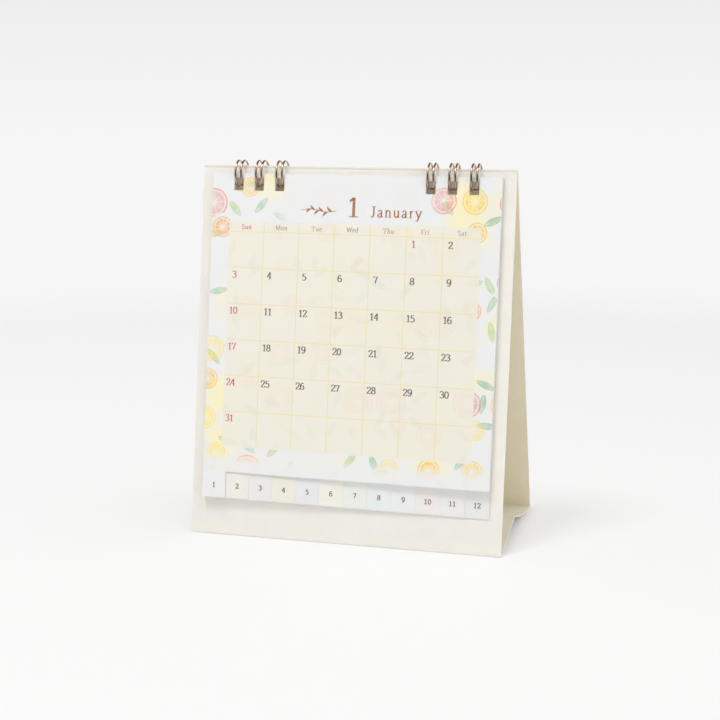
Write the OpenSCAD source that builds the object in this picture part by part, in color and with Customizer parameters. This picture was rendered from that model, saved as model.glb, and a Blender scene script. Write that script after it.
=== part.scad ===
// Easel desk calendar: a folded card stand, two runs of twin-loop wire over its top fold,
// and a pad of month sheets with stepped index tabs that turns on the wires.
// Millimetres, +Z up, the front faces -Y, the origin is under the middle of the object.

/* [Stand] */
// Width of the card stand
stand_w = 126; // [110:1:150]
// Length of the front panel, from its foot to the top of the fold
front_len = 147.5; // [136:0.5:175]
// Lean of the front panel from upright, in degrees
front_lean = 8.6; // [6:0.1:11]
// Depth of the stand between its two feet
stand_depth = 71; // [62:0.5:80]
// Thickness of the card
board_t = 0.6; // [0.4:0.05:0.65]
// Outer radius of the rounded top fold
fold_r = 0.7; // [0.68:0.02:0.9]
// Height of the ridge in the base above its two creases
ridge_h = 6.2; // [4:0.2:9]
// Radius of the scored crease in the base
crease_r = 0.3; // [0.2:0.02:0.34]
// Height of the glued tab inside the front panel
glue_tab_h = 15; // [8:0.5:30]
// Rise of the glued tab above the front crease, which leaves the base room to fold up
glue_tab_rise = 2; // [1.8:0.1:5]
// Smallest angle that the stand closes to, in degrees
closed_apex = 8.3; // [7.8:0.1:14]

/* [Wires] */
// Number of double loops in each run of wire
loops = 3; // [2:1:4]
// Distance between double loops
loop_pitch = 8.467; // [8:0.001:9]
// Distance between the two legs of a double loop
leg_gap = 2.3; // [2.1:0.05:2.5]
// Diameter of the wire
wire_d = 0.84; // [0.7:0.02:0.9]
// Radius of the loops at the middle of the wire
ring_r = 5.56; // [5.4:0.02:5.8]
// Drop of the loops' centre below the top of the fold
ring_drop = 2.66; // [2.5:0.02:2.8]
// Distance of the loops' centre behind the front face
ring_back = 0.29; // [0.2:0.01:0.4]
// Distance of each run's middle from the stand's side edge
run_inset = 24.2; // [18:0.1:35]
// Bend radius where a leg turns into the spine
spine_bend = 0.55; // [0.5:0.01:0.6]

/* [Sheets] */
// Number of month sheets, which is also the number of index tabs
sheets = 12; // [3:1:12]
// Width of a sheet
sheet_w = 116; // [104:0.5:120]
// Thickness of a sheet
sheet_t = 0.15; // [0.1:0.01:0.16]
// Top edge of the sheets below the top of the fold
sheet_top = 3.3; // [3.2:0.02:3.5]
// Foot of the printed page below the top of the fold
page_end = 121.8; // [110:0.1:126]
// Height of the index tabs below the page
tab_h = 10.5; // [8:0.1:12]
// Paper left between a sheet's top edge and its punched holes
edge_margin = 1.0; // [0.8:0.02:1.1]
// Paper left between the punched holes and the first sheet's bend line
bend_margin = 0.5; // [0.4:0.05:1]

/* [Clearances] */
// Gap between neighbouring sheets
sheet_gap = 0.05; // [0.03:0.01:0.08]
// Gap between the front panel and the last sheet
pad_clear = 0.2; // [0.15:0.01:0.25]
// Half of the gap across a sheet's bend line
bend_gap = 0.12; // [0.1:0.01:0.15]
// Play of the wire at each side of a punched hole
hole_side_play = 0.33; // [0.3:0.01:0.45]
// Play of the wire along the holes in the card
board_hole_play = 1.5; // [1.2:0.05:1.8]
// Running gap at a crease
crease_gap = 0.06; // [0.04:0.01:0.1]
// Gap between the spine of a wire and the front panel
spine_clear = 0.2; // [0.15:0.01:0.25]
// Gap between the base's rear edge and the rear panel, where the glued loop is opened
rear_edge_gap = 3; // [2.5:0.1:5]

/* [Hidden] */
// Sides of the wire, and its steps round a loop, a tip and a bend
wire_sides = 8;
loop_step = 15;
tip_steps = 6;
bend_steps = 3;

// Frame of the front panel: n is the distance before its face, s the distance below the top of the fold
sheet_pitch = sheet_t + sheet_gap;
pad_front = pad_clear + sheets * sheet_pitch - sheet_gap;
tab_end = page_end + tab_h;
pad_reach = max(0, pad_front * cos(front_lean) - (front_len - tab_end) * sin(front_lean));
foot_y = (pad_reach - stand_depth) / 2;
function side(n, s) = [
    foot_y - n * cos(front_lean) + (front_len - s) * sin(front_lean),
    n * sin(front_lean) + (front_len - s) * cos(front_lean)
];

// Stand in side view, as [y, z]: the fold's axis, the rear panel's lean and the creases of the base
fold_seat = 0.02;
fold_axis = side(-fold_r - fold_seat, fold_r);
rear_foot = [foot_y + stand_depth, 0];
foot_reach = norm(rear_foot - fold_axis);
rear_lean = atan2(rear_foot.x - fold_axis.x, fold_axis.y) - asin(fold_r / foot_reach);
apex = front_lean + rear_lean;
floor_clear = 0.15;
crease_z = board_t + floor_clear;
crease_s = front_len - (crease_z + board_t * sin(front_lean)) / cos(front_lean);
front_crease = side(-board_t, crease_s);
rear_inner = fold_r - board_t;
rear_u = (fold_axis.y + rear_inner * sin(rear_lean) - crease_z) / cos(rear_lean);
rear_crease = fold_axis + [
    rear_inner * cos(rear_lean) + rear_u * sin(rear_lean),
    rear_inner * sin(rear_lean) - rear_u * cos(rear_lean)
];

// Ridge: the two flaps fold flat between the panels, so their lengths differ as the panels' lengths do
crease_span = rear_crease.x - front_crease.x;
half_diff = (norm(rear_crease - fold_axis) - norm(front_crease - fold_axis)) / 2;
half_axis2 = pow(crease_span / 2, 2) - pow(half_diff, 2);
ridge_top = [
    (front_crease.x + rear_crease.x) / 2 - half_diff * sqrt(1 + ridge_h * ridge_h / half_axis2),
    crease_z + ridge_h
];
front_slope = atan2(ridge_h, ridge_top.x - front_crease.x);
rear_slope = atan2(ridge_h, rear_crease.x - ridge_top.x);
ridge_tilt = (front_slope - rear_slope) / 2;
ridge_drop = board_t / cos((front_slope + rear_slope) / 2);
ridge_axis = ridge_top + ridge_drop * [sin(ridge_tilt), -cos(ridge_tilt)];

// Wires, unrolled on the loops: x along the spine and a along the loop, from the loop's lowest point
run_x = stand_w / 2 - run_inset;
ring_axis = side(-ring_back, ring_drop);
hole_w = leg_gap + wire_d + 2 * hole_side_play;
spine_n = board_t + spine_clear + wire_d / 2 - ring_back;
spine_a = -ring_r * asin(spine_n / ring_r) * PI / 180;
tip_gap = 0.45;
tip_a = 2 * PI * ring_r + spine_a - wire_d - tip_gap;
turn_a = tip_a - leg_gap / 2;

// Holes in the card, where the loops pass through its middle plane
front_crossing = ring_drop + sqrt(pow(ring_r, 2) - pow(board_t / 2 - ring_back, 2));
front_hole_start = front_crossing - wire_d / 2 - board_hole_play;
front_hole_end = front_crossing + wire_d / 2 + board_hole_play;
function rear_crossing(angle) =
    let (
        mid = fold_r - board_t / 2,
        q = [fold_r + fold_seat - ring_back + mid * cos(angle), ring_drop - fold_r + mid * sin(angle)],
        b = q.x * sin(angle) - q.y * cos(angle)
    )
    -b + sqrt(b * b - q * q + ring_r * ring_r);
rear_hole_start = rear_crossing(apex) - wire_d / 2 - board_hole_play;
rear_hole_end = rear_crossing(closed_apex) + wire_d / 2 + board_hole_play;

// Sheets: holes that end level with the card's, bend lines and the axis that the punched edges turn on
sheet_hole_start = sheet_top + edge_margin;
sheet_hole_end = front_hole_end;
turn_fore = 0.07;
turn_rise = 1.11;
turn_axis = side(turn_fore - ring_back, ring_drop - turn_rise);
function sheet_n(k) = pad_clear + (sheets - k) * sheet_pitch;
function bend_s(k) = sheet_hole_end + bend_margin + (k - 1) * sheet_pitch;
function bend_axis(k) = side(sheet_n(k) + sheet_t / 2, bend_s(k));

card = [0.92, 0.90, 0.85];
card_shade = [0.85, 0.82, 0.74];
bronze = [0.55, 0.36, 0.26];
paper = [0.95, 0.95, 0.93];

function digits(k) = str(k < 10 ? "0" : "", k);
function binding_name(k) = str("sheet_", digits(k), "_binding");
function leaf_name(k) = str("sheet_", digits(k), "_leaf");

// Side view drawn on [y, z], made solid across the width
module across(width) rotate([90, 0, 90]) linear_extrude(height = width, center = true) children();

// Frame of the front panel: x across, y back from its face, z up from its foot
module in_panel() translate([0, foot_y, 0]) rotate([-front_lean, 0, 0]) children();

// Frame of the rear panel: x across, y back from the fold's axis, z up
module in_rear() translate([0, fold_axis.x, fold_axis.y]) rotate([rear_lean, 0, 0]) children();

module below_floor() translate([-stand_depth, -2 * board_t]) square([2 * stand_depth, 2 * board_t]);

// Children at each double loop of both runs
module at_loops() {
    for (run = [-1, 1]) {
        for (i = [0:loops - 1]) {
            translate([run * run_x + (i - (loops - 1) / 2) * loop_pitch, 0, 0]) children();
        }
    }
}

module front_panel() color(card) {
    difference() {
        across(stand_w) difference() {
            union() {
                polygon([side(0, fold_r), side(0, front_len), side(-board_t, front_len), side(-board_t, fold_r)]);
                translate(fold_axis) circle(fold_r, $fn = 64);
                translate(front_crease) circle(crease_r, $fn = 48);
            }
            below_floor();
        }
        in_panel() at_loops() {
            translate([-hole_w / 2, -board_t, front_len - front_hole_end])
                cube([hole_w, 3 * board_t, front_hole_end - front_hole_start]);
        }
    }
}

module rear_panel() color(card) {
    reach = foot_reach + board_t;
    difference() {
        in_rear() translate([-stand_w / 2, rear_inner, -reach]) cube([stand_w, board_t, reach]);
        across(stand_w + 2) below_floor();
        across(stand_w + 2) translate(fold_axis) circle(fold_r + crease_gap, $fn = 64);
        in_rear() at_loops() {
            translate([-hole_w / 2, rear_inner - board_t, -rear_hole_end])
                cube([hole_w, 3 * board_t, rear_hole_end - rear_hole_start]);
        }
    }
}

module base_front_flap() color(card_shade) across(stand_w) difference() {
    union() {
        translate(front_crease) rotate(front_slope) translate([0, -board_t])
            square([norm(ridge_top - front_crease) - board_t * tan((front_slope + rear_slope) / 2), board_t]);
        translate(ridge_axis) circle(crease_r, $fn = 48);
    }
    translate(front_crease) circle(crease_r + crease_gap, $fn = 48);
}

module base_rear_flap() color(card_shade) across(stand_w) difference() {
    translate(ridge_axis) rotate(-rear_slope)
        square([norm(rear_crease - ridge_top) - rear_edge_gap, board_t]);
    translate(ridge_axis) circle(crease_r + crease_gap, $fn = 48);
}

module glue_tab() color(card_shade) in_panel() {
    seat_z = front_len - crease_s + glue_tab_rise;
    translate([-stand_w / 2, board_t, seat_z]) cube([stand_w, board_t, glue_tab_h]);
}

// One run of wire on its unrolled loops: each leg goes round, turns at the tip and comes back to the spine
function leg_up(x) = [for (d = [0:loop_step:turn_a / ring_r * 180 / PI - loop_step / 2]) [x, ring_r * d * PI / 180]];
function tip(x) = [for (i = [0:tip_steps]) [x - leg_gap / 2 * cos(180 * i / tip_steps),
    turn_a + leg_gap / 2 * sin(180 * i / tip_steps)]];
function bend(x, way) = [for (i = [0:bend_steps]) [
    x + way * spine_bend * (1 - sin(90 * i / bend_steps)), spine_a + spine_bend * (1 - cos(90 * i / bend_steps))]];
function backwards(list) = [for (i = [len(list) - 1:-1:0]) list[i]];
function double_loop(i) =
    let (x = (i - (loops - 1) / 2) * loop_pitch, l = x - leg_gap / 2, r = x + leg_gap / 2)
    concat(
        i == 0 ? [[l, spine_a]] : bend(l, -1),
        leg_up(l),
        tip(x),
        backwards(leg_up(r)),
        i == loops - 1 ? [[r, spine_a]] : backwards(bend(r, 1))
    );
run_path = [for (i = [0:loops - 1]) each double_loop(i)];

// Rolled up on the loops' circle, as [x, y, z]; a = 0 is the lowest point and a grows towards the front
function radial(a) = let (w = a / ring_r * 180 / PI + front_lean) [0, -sin(w), -cos(w)];
function rolled(p) = [p.x, ring_axis.x, ring_axis.y] + ring_r * radial(p.y);
function unit(v) = v / norm(v);
wire_line = [for (p = run_path) rolled(p)];
wire_last = len(wire_line) - 1;
function along(i) = unit(wire_line[min(i + 1, wire_last)] - wire_line[max(i - 1, 0)]);
function wire_ring(i) =
    let (t = along(i), u = unit(radial(run_path[i].y) - (radial(run_path[i].y) * t) * t), v = cross(t, u))
    [for (j = [0:wire_sides - 1])
        wire_line[i] + wire_d / 2 * (cos(360 * j / wire_sides) * u + sin(360 * j / wire_sides) * v)];
wire_points = [for (i = [0:wire_last]) each wire_ring(i)];
wire_faces = concat(
    [for (j = [1:wire_sides - 2]) [0, j, j + 1]],
    [for (j = [1:wire_sides - 2]) [wire_last * wire_sides, wire_last * wire_sides + j + 1, wire_last * wire_sides + j]],
    [for (i = [0:wire_last - 1], j = [0:wire_sides - 1])
        let (a = i * wire_sides + j, b = i * wire_sides + (j + 1) % wire_sides)
        each [[a, a + wire_sides, b], [b, a + wire_sides, b + wire_sides]]]
);

// Least gap of a wire to itself, between points further apart along it than a bend
far_points = 12;
wire_gap = min([for (i = [0:wire_last], j = [i + far_points:1:wire_last]) norm(wire_line[i] - wire_line[j])]) - wire_d;
echo(least_wire_gap = wire_gap);

module wire_run() color(bronze) polyhedron(wire_points, wire_faces, convexity = 10);

module wire_left() translate([-run_x, 0, 0]) wire_run();

module wire_right() translate([run_x, 0, 0]) wire_run();

// A sheet's outline drawn on [x, s below the fold], laid in its place before the panel
module sheet_layer(k) in_panel() translate([0, -sheet_n(k), front_len]) rotate([90, 0, 0])
    linear_extrude(height = sheet_t) mirror([0, 1]) children();

// Punched edge of sheet k, which rides on the wires
module sheet_binding(k) color(paper) sheet_layer(k) difference() {
    translate([-sheet_w / 2, sheet_top]) square([sheet_w, bend_s(k) - bend_gap - sheet_top]);
    at_loops() translate([-hole_w / 2, sheet_hole_start]) square([hole_w, sheet_hole_end - sheet_hole_start]);
}

// Leaf of sheet k: the page, and the index tabs up to its own
module sheet_leaf(k) color(paper) sheet_layer(k) {
    leaf_start = bend_s(k) + bend_gap;
    own_tabs = sheet_w * k / sheets;
    left = -sheet_w / 2;
    polygon([
        [left, leaf_start], [-left, leaf_start], [-left, k < sheets ? page_end : tab_end],
        [left + own_tabs, k < sheets ? page_end : tab_end], [left + own_tabs, tab_end], [left, tab_end]
    ]);
}

// Axes of the joints, as [y, z], for the assembly's record
echo(fold_axis = fold_axis, front_crease = front_crease, ridge_axis = ridge_axis, turn_axis = turn_axis);
echo(bend_axes = [for (k = [1:sheets]) bend_axis(k)]);

front_panel();
rear_panel();
base_front_flap();
base_rear_flap();
glue_tab();
wire_left();
wire_right();
for (k = [1:sheets]) {
    sheet_binding(k);
    sheet_leaf(k);
}
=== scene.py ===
"""Looks of an easel desk calendar.

A folded card stand carries two runs of twin-loop wire and twelve printed month sheets.
"""

import logging
import math
from dataclasses import dataclass, field
from enum import Enum
from functools import partial
from typing import Any, Callable, Optional, Sequence, Union

import bmesh
import bpy
import numpy as np
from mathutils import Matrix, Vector


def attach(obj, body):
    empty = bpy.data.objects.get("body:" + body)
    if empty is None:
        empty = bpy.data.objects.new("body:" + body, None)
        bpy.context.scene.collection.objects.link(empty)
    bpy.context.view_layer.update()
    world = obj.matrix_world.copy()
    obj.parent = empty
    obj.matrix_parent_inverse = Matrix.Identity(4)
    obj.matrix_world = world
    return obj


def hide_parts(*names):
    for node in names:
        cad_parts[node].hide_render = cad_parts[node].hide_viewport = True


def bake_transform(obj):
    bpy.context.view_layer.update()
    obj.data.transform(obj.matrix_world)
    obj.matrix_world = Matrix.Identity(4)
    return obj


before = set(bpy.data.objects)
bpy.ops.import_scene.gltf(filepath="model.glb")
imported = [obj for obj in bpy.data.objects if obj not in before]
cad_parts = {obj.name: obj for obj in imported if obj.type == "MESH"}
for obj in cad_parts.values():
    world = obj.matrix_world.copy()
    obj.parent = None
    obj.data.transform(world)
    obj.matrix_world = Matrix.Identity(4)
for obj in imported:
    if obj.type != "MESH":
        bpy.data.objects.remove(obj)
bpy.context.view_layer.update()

LOG = logging.getLogger("desk_calendar")
Spot = tuple[float, float, float]
Pair = tuple[float, float]
Source = Union[bpy.types.NodeSocket, bpy.types.Node, float, Sequence[float]]
Links = Union[Sequence[Source], dict[Union[int, str], Source]]

MM = 0.001
# Mesh attributes: each corner's place on its printed page, and each point of the board that gets
# painted shade, on the top fold and at the front panel's foot.
PAGE = "page_mm"
FOLD_SHADE = "fold"
# Place along the page that marks a sheet's blank back and its cut edges.
BACK_OF_SHEET = -100.0
# Edges that turn less than this many degrees are shaded smooth.
SMOOTH_BELOW = 40.0
# Edges of card that turn more than this many degrees are eased.
CUT_ANGLE = 50.0
# Two places closer than this many millimetres are the same.
SAME_PLACE = 1e-6
# Least length of a line's direction before it is made a unit long.
NO_LENGTH = 1e-9
# Pieces of a smooth line between two of its points, of a straight one, and round an oval.
CURVE_PARTS = 5
STRAIGHT_PARTS = 2
OVAL_PARTS = 12


def linear(colour: str) -> tuple[float, float, float, float]:
    """Turns an sRGB hex colour into linear light.

    Args:
        colour: six hex digits after a hash sign.

    Returns:
        Red, green, blue and an alpha of one.
    """
    parts = [int(colour[i:i + 2], 16) / 255 for i in (1, 3, 5)]
    light = [p / 12.92 if p <= 0.04045 else ((p + 0.055) / 1.055) ** 2.4 for p in parts]
    return (light[0], light[1], light[2], 1.0)


def grey(level: float) -> tuple[float, float, float, float]:
    """Gives a plain amount as a ramp colour."""
    return (level, level, level, 1.0)


def add(tree: bpy.types.NodeTree, kind: str, links: Links = (), **settings: Any) -> bpy.types.Node:
    """Adds one node with its settings and links.

    Args:
        tree: the node tree to add to.
        kind: Blender's name of the node type, without "ShaderNode".
        links: a socket or node to link, or a plain value to set, for each input: in the order of
            the inputs, or by their names or numbers.
        settings: the node's own properties; "stops" fills a colour ramp with places and colours.

    Returns:
        The new node.
    """
    made = tree.nodes.new(f"ShaderNode{kind}")
    for key, value in settings.items():
        if key == "stops":
            ramp = made.color_ramp.elements
            while len(ramp) < len(value):
                ramp.new(1.0)
            for stop, (place, colour) in zip(ramp, value):
                stop.position, stop.color = place, colour
        else:
            setattr(made, key, value)
    for key, value in links.items() if isinstance(links, dict) else enumerate(links):
        if isinstance(value, bpy.types.Node):
            value = value.outputs[0]
        if isinstance(value, bpy.types.NodeSocket):
            tree.links.new(value, made.inputs[key])
        else:
            made.inputs[key].default_value = value
    return made


def new_material(name: str) -> tuple[bpy.types.Material, bpy.types.NodeTree]:
    """Makes an empty node material.

    Args:
        name: the material's name.

    Returns:
        The material and its cleared node tree.
    """
    made = bpy.data.materials.new(name)
    made.use_nodes = True
    made.node_tree.nodes.clear()
    return made, made.node_tree


def new_piece(name: str, spots: Sequence[Spot], faces: Sequence[Sequence[int]],
              smooth_below: float = SMOOTH_BELOW) -> bpy.types.Object:
    """Makes a mesh object from points in millimetres.

    Args:
        name: the piece's name.
        spots: the points, in the frame of the model.
        faces: the corners of each face.
        smooth_below: edges that turn less than this many degrees are shaded smooth.

    Returns:
        The new object, linked into the scene.
    """
    mesh = bpy.data.meshes.new(name)
    mesh.from_pydata([tuple(c * MM for c in p) for p in spots], [], faces)
    mesh.polygons.foreach_set("use_smooth", [True] * len(mesh.polygons))
    mesh.set_sharp_from_angle(angle=math.radians(smooth_below))
    made = bpy.data.objects.new(name, mesh)
    bpy.context.scene.collection.objects.link(made)
    return made


def bevelled(piece: bpy.types.Object, width: float, segments: int = 2) -> None:
    """Eases the cut edges of a piece.

    Args:
        piece: the object to ease.
        width: width of the bevel in millimetres.
        segments: faces across the bevel.
    """
    bevel = piece.modifiers.new("cut_edge", "BEVEL")
    bevel.width = width * MM
    bevel.segments = segments
    bevel.limit_method = "ANGLE"
    bevel.angle_limit = math.radians(CUT_ANGLE)


def shell(name: str, xs: Sequence[float], us: Sequence[float], kept: Callable[[float, float], bool],
          place: Callable[[float, float, int], Spot], materials: Sequence[bpy.types.Material],
          month: Optional[int] = None) -> bpy.types.Object:
    """Makes a closed sheet of card or paper on a grid, with no cells where it is cut or punched.

    Args:
        name: the piece's name.
        xs: grid lines across the sheet.
        us: grid lines along the sheet.
        kept: tells whether the sheet is there at a cell's middle.
        place: puts a grid point on the front (0) or back (1) of the sheet.
        materials: the front's material, and the back's where it differs.
        month: the number carried by the printed side, or none for plain card.

    Returns:
        The closed shell.
    """
    nx, nu = len(xs) - 1, len(us) - 1
    there = [[kept((xs[i] + xs[i + 1]) / 2, (us[j] + us[j + 1]) / 2) for j in range(nu)]
             for i in range(nx)]
    spots: list[Spot] = []
    index: dict[tuple[int, int, int], int] = {}
    faces: list[list[int]] = []
    backs: list[int] = []
    marks: list[Spot] = []

    def corner(i: int, j: int, side: int) -> int:
        """Gives the number of a grid point, made at its first use.

        Args:
            i: its grid line across the sheet.
            j: its grid line along the sheet.
            side: 0 on the front, 1 on the back.

        Returns:
            The point's number in the mesh.
        """
        key = (i, j, side)
        if key not in index:
            index[key] = len(spots)
            spots.append(place(xs[i], us[j], side))
        return index[key]

    def face(corners: Sequence[tuple[int, int, int]], printed: bool) -> None:
        """Adds a face and the place on the page of each of its corners.

        Args:
            corners: the face's grid points.
            printed: whether it carries the page's print.
        """
        faces.append([corner(*c) for c in corners])
        backs.append(int(all(side == 1 for _, _, side in corners)))
        marks.extend((xs[i], us[j] if printed else BACK_OF_SHEET, float(month or 0))
                     for i, j, _ in corners)

    def empty(i: int, j: int) -> bool:
        """Tells whether a cell is cut away or off the sheet."""
        return not (0 <= i < nx and 0 <= j < nu and there[i][j])

    for i in range(nx):
        for j in range(nu):
            if empty(i, j):
                continue
            a, b, c, d = (i, j), (i, j + 1), (i + 1, j + 1), (i + 1, j)
            face([(*p, 0) for p in (a, b, c, d)], True)
            face([(*p, 1) for p in (d, c, b, a)], False)
            for (p, q), beyond in (((a, b), (i - 1, j)), ((b, c), (i, j + 1)),
                                   ((c, d), (i + 1, j)), ((d, a), (i, j - 1))):
                if empty(*beyond):
                    face([(*p, 0), (*p, 1), (*q, 1), (*q, 0)], False)
    made = new_piece(name, spots, faces)
    for material in materials:
        made.data.materials.append(material)
    if len(materials) > 1:
        made.data.polygons.foreach_set("material_index", backs)
    if month is not None:
        places = made.data.attributes.new(PAGE, "FLOAT_VECTOR", "CORNER")
        places.data.foreach_set("vector", np.ravel(marks))
    return made


def lines(*groups: Sequence[float]) -> list[float]:
    """Merges grid lines into one sorted list without doubles."""
    return sorted({round(v, 5) for group in groups for v in group})


def steps(start: float, end: float, count: int) -> list[float]:
    """Gives evenly spaced values from start to end."""
    return [start + (end - start) * i / count for i in range(count + 1)]


class Tone(Enum):
    """Inks of the print, in the order of a sheet's ink materials."""

    BROWN = 0
    ROSE = 1
    TAN = 2
    FOIL = 3
    UMBER = 4


class Weekday(Enum):
    """Columns of the month."""

    SUNDAY = "Sun"
    MONDAY = "Mon"
    TUESDAY = "Tue"
    WEDNESDAY = "Wed"
    THURSDAY = "Thu"
    FRIDAY = "Fri"
    SATURDAY = "Sat"


class Month(Enum):
    """Months of a common year, with their days."""

    JANUARY = ("January", 31)
    FEBRUARY = ("February", 28)
    MARCH = ("March", 31)
    APRIL = ("April", 30)
    MAY = ("May", 31)
    JUNE = ("June", 30)
    JULY = ("July", 31)
    AUGUST = ("August", 31)
    SEPTEMBER = ("September", 30)
    OCTOBER = ("October", 31)
    NOVEMBER = ("November", 30)
    DECEMBER = ("December", 31)


@dataclass(frozen=True)
class IvoryBoard:
    """Uncoated ivory board, calendered.

    It is matt and warm, with a faint cloud of fibres, and some light passes through it.
    """

    name: str = "ivory_board"
    colour: str = "#F0EDE5"
    cloud: str = "#EEEAE2"
    fleck: str = "#DDD6C8"
    # Painted shade: the board is greyed on the top fold, where the fold's top lies in shade, and at
    # the front panel's foot, where the floor's contact shadow falls.
    crease: str = "#DDD9CE"
    cloud_mm: float = 9.0
    # Fibres are finer than 0.1 mm: they are drawn 0.5 mm long, as coarse as they need to show.
    fibre_mm: float = 0.5
    # Levels of the noise between which a cloud clears and a fleck comes up, and its strength.
    cloud_levels: Pair = (0.35, 0.65)
    fleck_levels: Pair = (0.62, 0.8)
    fleck_share: float = 0.22
    fibre_levels: Pair = (0.2, 0.8)
    roughness: float = 0.72
    gloss_swing: float = 0.05
    bump_mm: float = 0.012
    bump_strength: float = 0.6
    ior: float = 1.45
    scatter: float = 0.35
    scatter_mm: Spot = (1.0, 0.85, 0.65)

    def build(self) -> bpy.types.Material:
        """Builds the board's material.

        Returns:
            The material.
        """
        made, tree = new_material(self.name)
        where = add(tree, "TexCoord").outputs["Object"]
        cloud = add(tree, "TexNoise",
                    {"Vector": where, "Scale": 1 / (self.cloud_mm * MM), "Detail": 4.0})
        fibre = add(tree, "TexNoise", {"Vector": where, "Scale": 1 / (self.fibre_mm * MM),
                                       "Detail": 3.0, "Roughness": 0.65})
        tones = linear(self.cloud), linear(self.colour)
        tone = add(tree, "ValToRGB", (cloud,), stops=list(zip(self.cloud_levels, tones)))
        fleck = add(tree, "MapRange", (fibre, *self.fleck_levels, 0.0, self.fleck_share))
        base = add(tree, "Mix", {0: fleck, 6: tone, 7: linear(self.fleck)}, data_type="RGBA")
        # Painted shade on the top fold and at the front panel's foot, mixed in by the attribute.
        fold = add(tree, "Attribute", attribute_name=FOLD_SHADE).outputs["Fac"]
        base = add(tree, "Mix", {0: fold, 6: base.outputs[2], 7: linear(self.crease)},
                   data_type="RGBA")
        gloss = add(tree, "MapRange", (fibre, *self.fibre_levels, self.roughness - self.gloss_swing,
                                       self.roughness + self.gloss_swing))
        bump = add(tree, "Bump", {"Height": fibre, "Distance": self.bump_mm * MM,
                                  "Strength": self.bump_strength})
        bsdf = add(tree, "BsdfPrincipled",
                   {"Base Color": base.outputs[2], "Roughness": gloss, "Normal": bump,
                    "IOR": self.ior, "Subsurface Weight": self.scatter,
                    "Subsurface Radius": self.scatter_mm, "Subsurface Scale": MM})
        add(tree, "OutputMaterial", (bsdf,))
        return made


@dataclass(frozen=True)
class LacqueredWire:
    """Drawn steel wire under copper-bronze lacquer.

    It has a warm sharp shine that darkens where it mirrors shade, with faint dull streaks.
    """

    colour: str = "#C8A285"
    dull: str = "#AB866A"
    streak_mm: float = 1.6
    # Levels of the noise from dull to clean lacquer, for its colour and for its gloss.
    tone_levels: Pair = (0.3, 0.6)
    gloss_levels: Pair = (0.3, 0.7)
    # Roughness of dull and of clean lacquer, and of the clear coat over both.
    roughness: Pair = (0.23, 0.14)
    coat_roughness: float = 0.18

    def build(self) -> bpy.types.Material:
        """Builds the wire's material.

        Returns:
            The material.
        """
        made, tree = new_material("bronze_lacquered_wire")
        where = add(tree, "TexCoord").outputs["Object"]
        streak = add(tree, "TexNoise",
                     {"Vector": where, "Scale": 1 / (self.streak_mm * MM), "Detail": 2.0})
        tones = linear(self.dull), linear(self.colour)
        tone = add(tree, "ValToRGB", (streak,), stops=list(zip(self.tone_levels, tones)))
        gloss = add(tree, "MapRange", (streak, *self.gloss_levels, *self.roughness))
        bsdf = add(tree, "BsdfPrincipled",
                   {"Base Color": tone, "Roughness": gloss, "Metallic": 1.0, "Coat Weight": 1.0,
                    "Coat Roughness": self.coat_roughness})
        add(tree, "OutputMaterial", (bsdf,))
        return made


@dataclass(frozen=True)
class PrintInk:
    """Offset ink, or hot-stamped foil where it is metal.

    It is flat colour a hair above the paper, slightly uneven.
    """

    name: str
    colour: str
    worn: str
    metallic: float = 0.0
    roughness: float = 0.5
    # Print grain is about 0.1 mm: it is drawn 0.4 mm wide, as coarse as it needs to show.
    grain_mm: float = 0.4
    # Levels of the noise from worn to full ink, for its colour and for its gloss.
    tone_levels: Pair = (0.32, 0.55)
    gloss_levels: Pair = (0.3, 0.7)
    gloss_swing: float = 0.06

    def build(self) -> bpy.types.Material:
        """Builds the ink's material.

        Returns:
            The material.
        """
        made, tree = new_material(self.name)
        where = add(tree, "TexCoord").outputs["Object"]
        grain = add(tree, "TexNoise",
                    {"Vector": where, "Scale": 1 / (self.grain_mm * MM), "Detail": 2.0})
        tones = linear(self.worn), linear(self.colour)
        tone = add(tree, "ValToRGB", (grain,), stops=list(zip(self.tone_levels, tones)))
        gloss = add(tree, "MapRange", (grain, *self.gloss_levels, self.roughness + self.gloss_swing,
                                       self.roughness - self.gloss_swing))
        bsdf = add(tree, "BsdfPrincipled",
                   {"Base Color": tone, "Roughness": gloss, "Metallic": self.metallic})
        add(tree, "OutputMaterial", (bsdf,))
        return made


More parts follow.
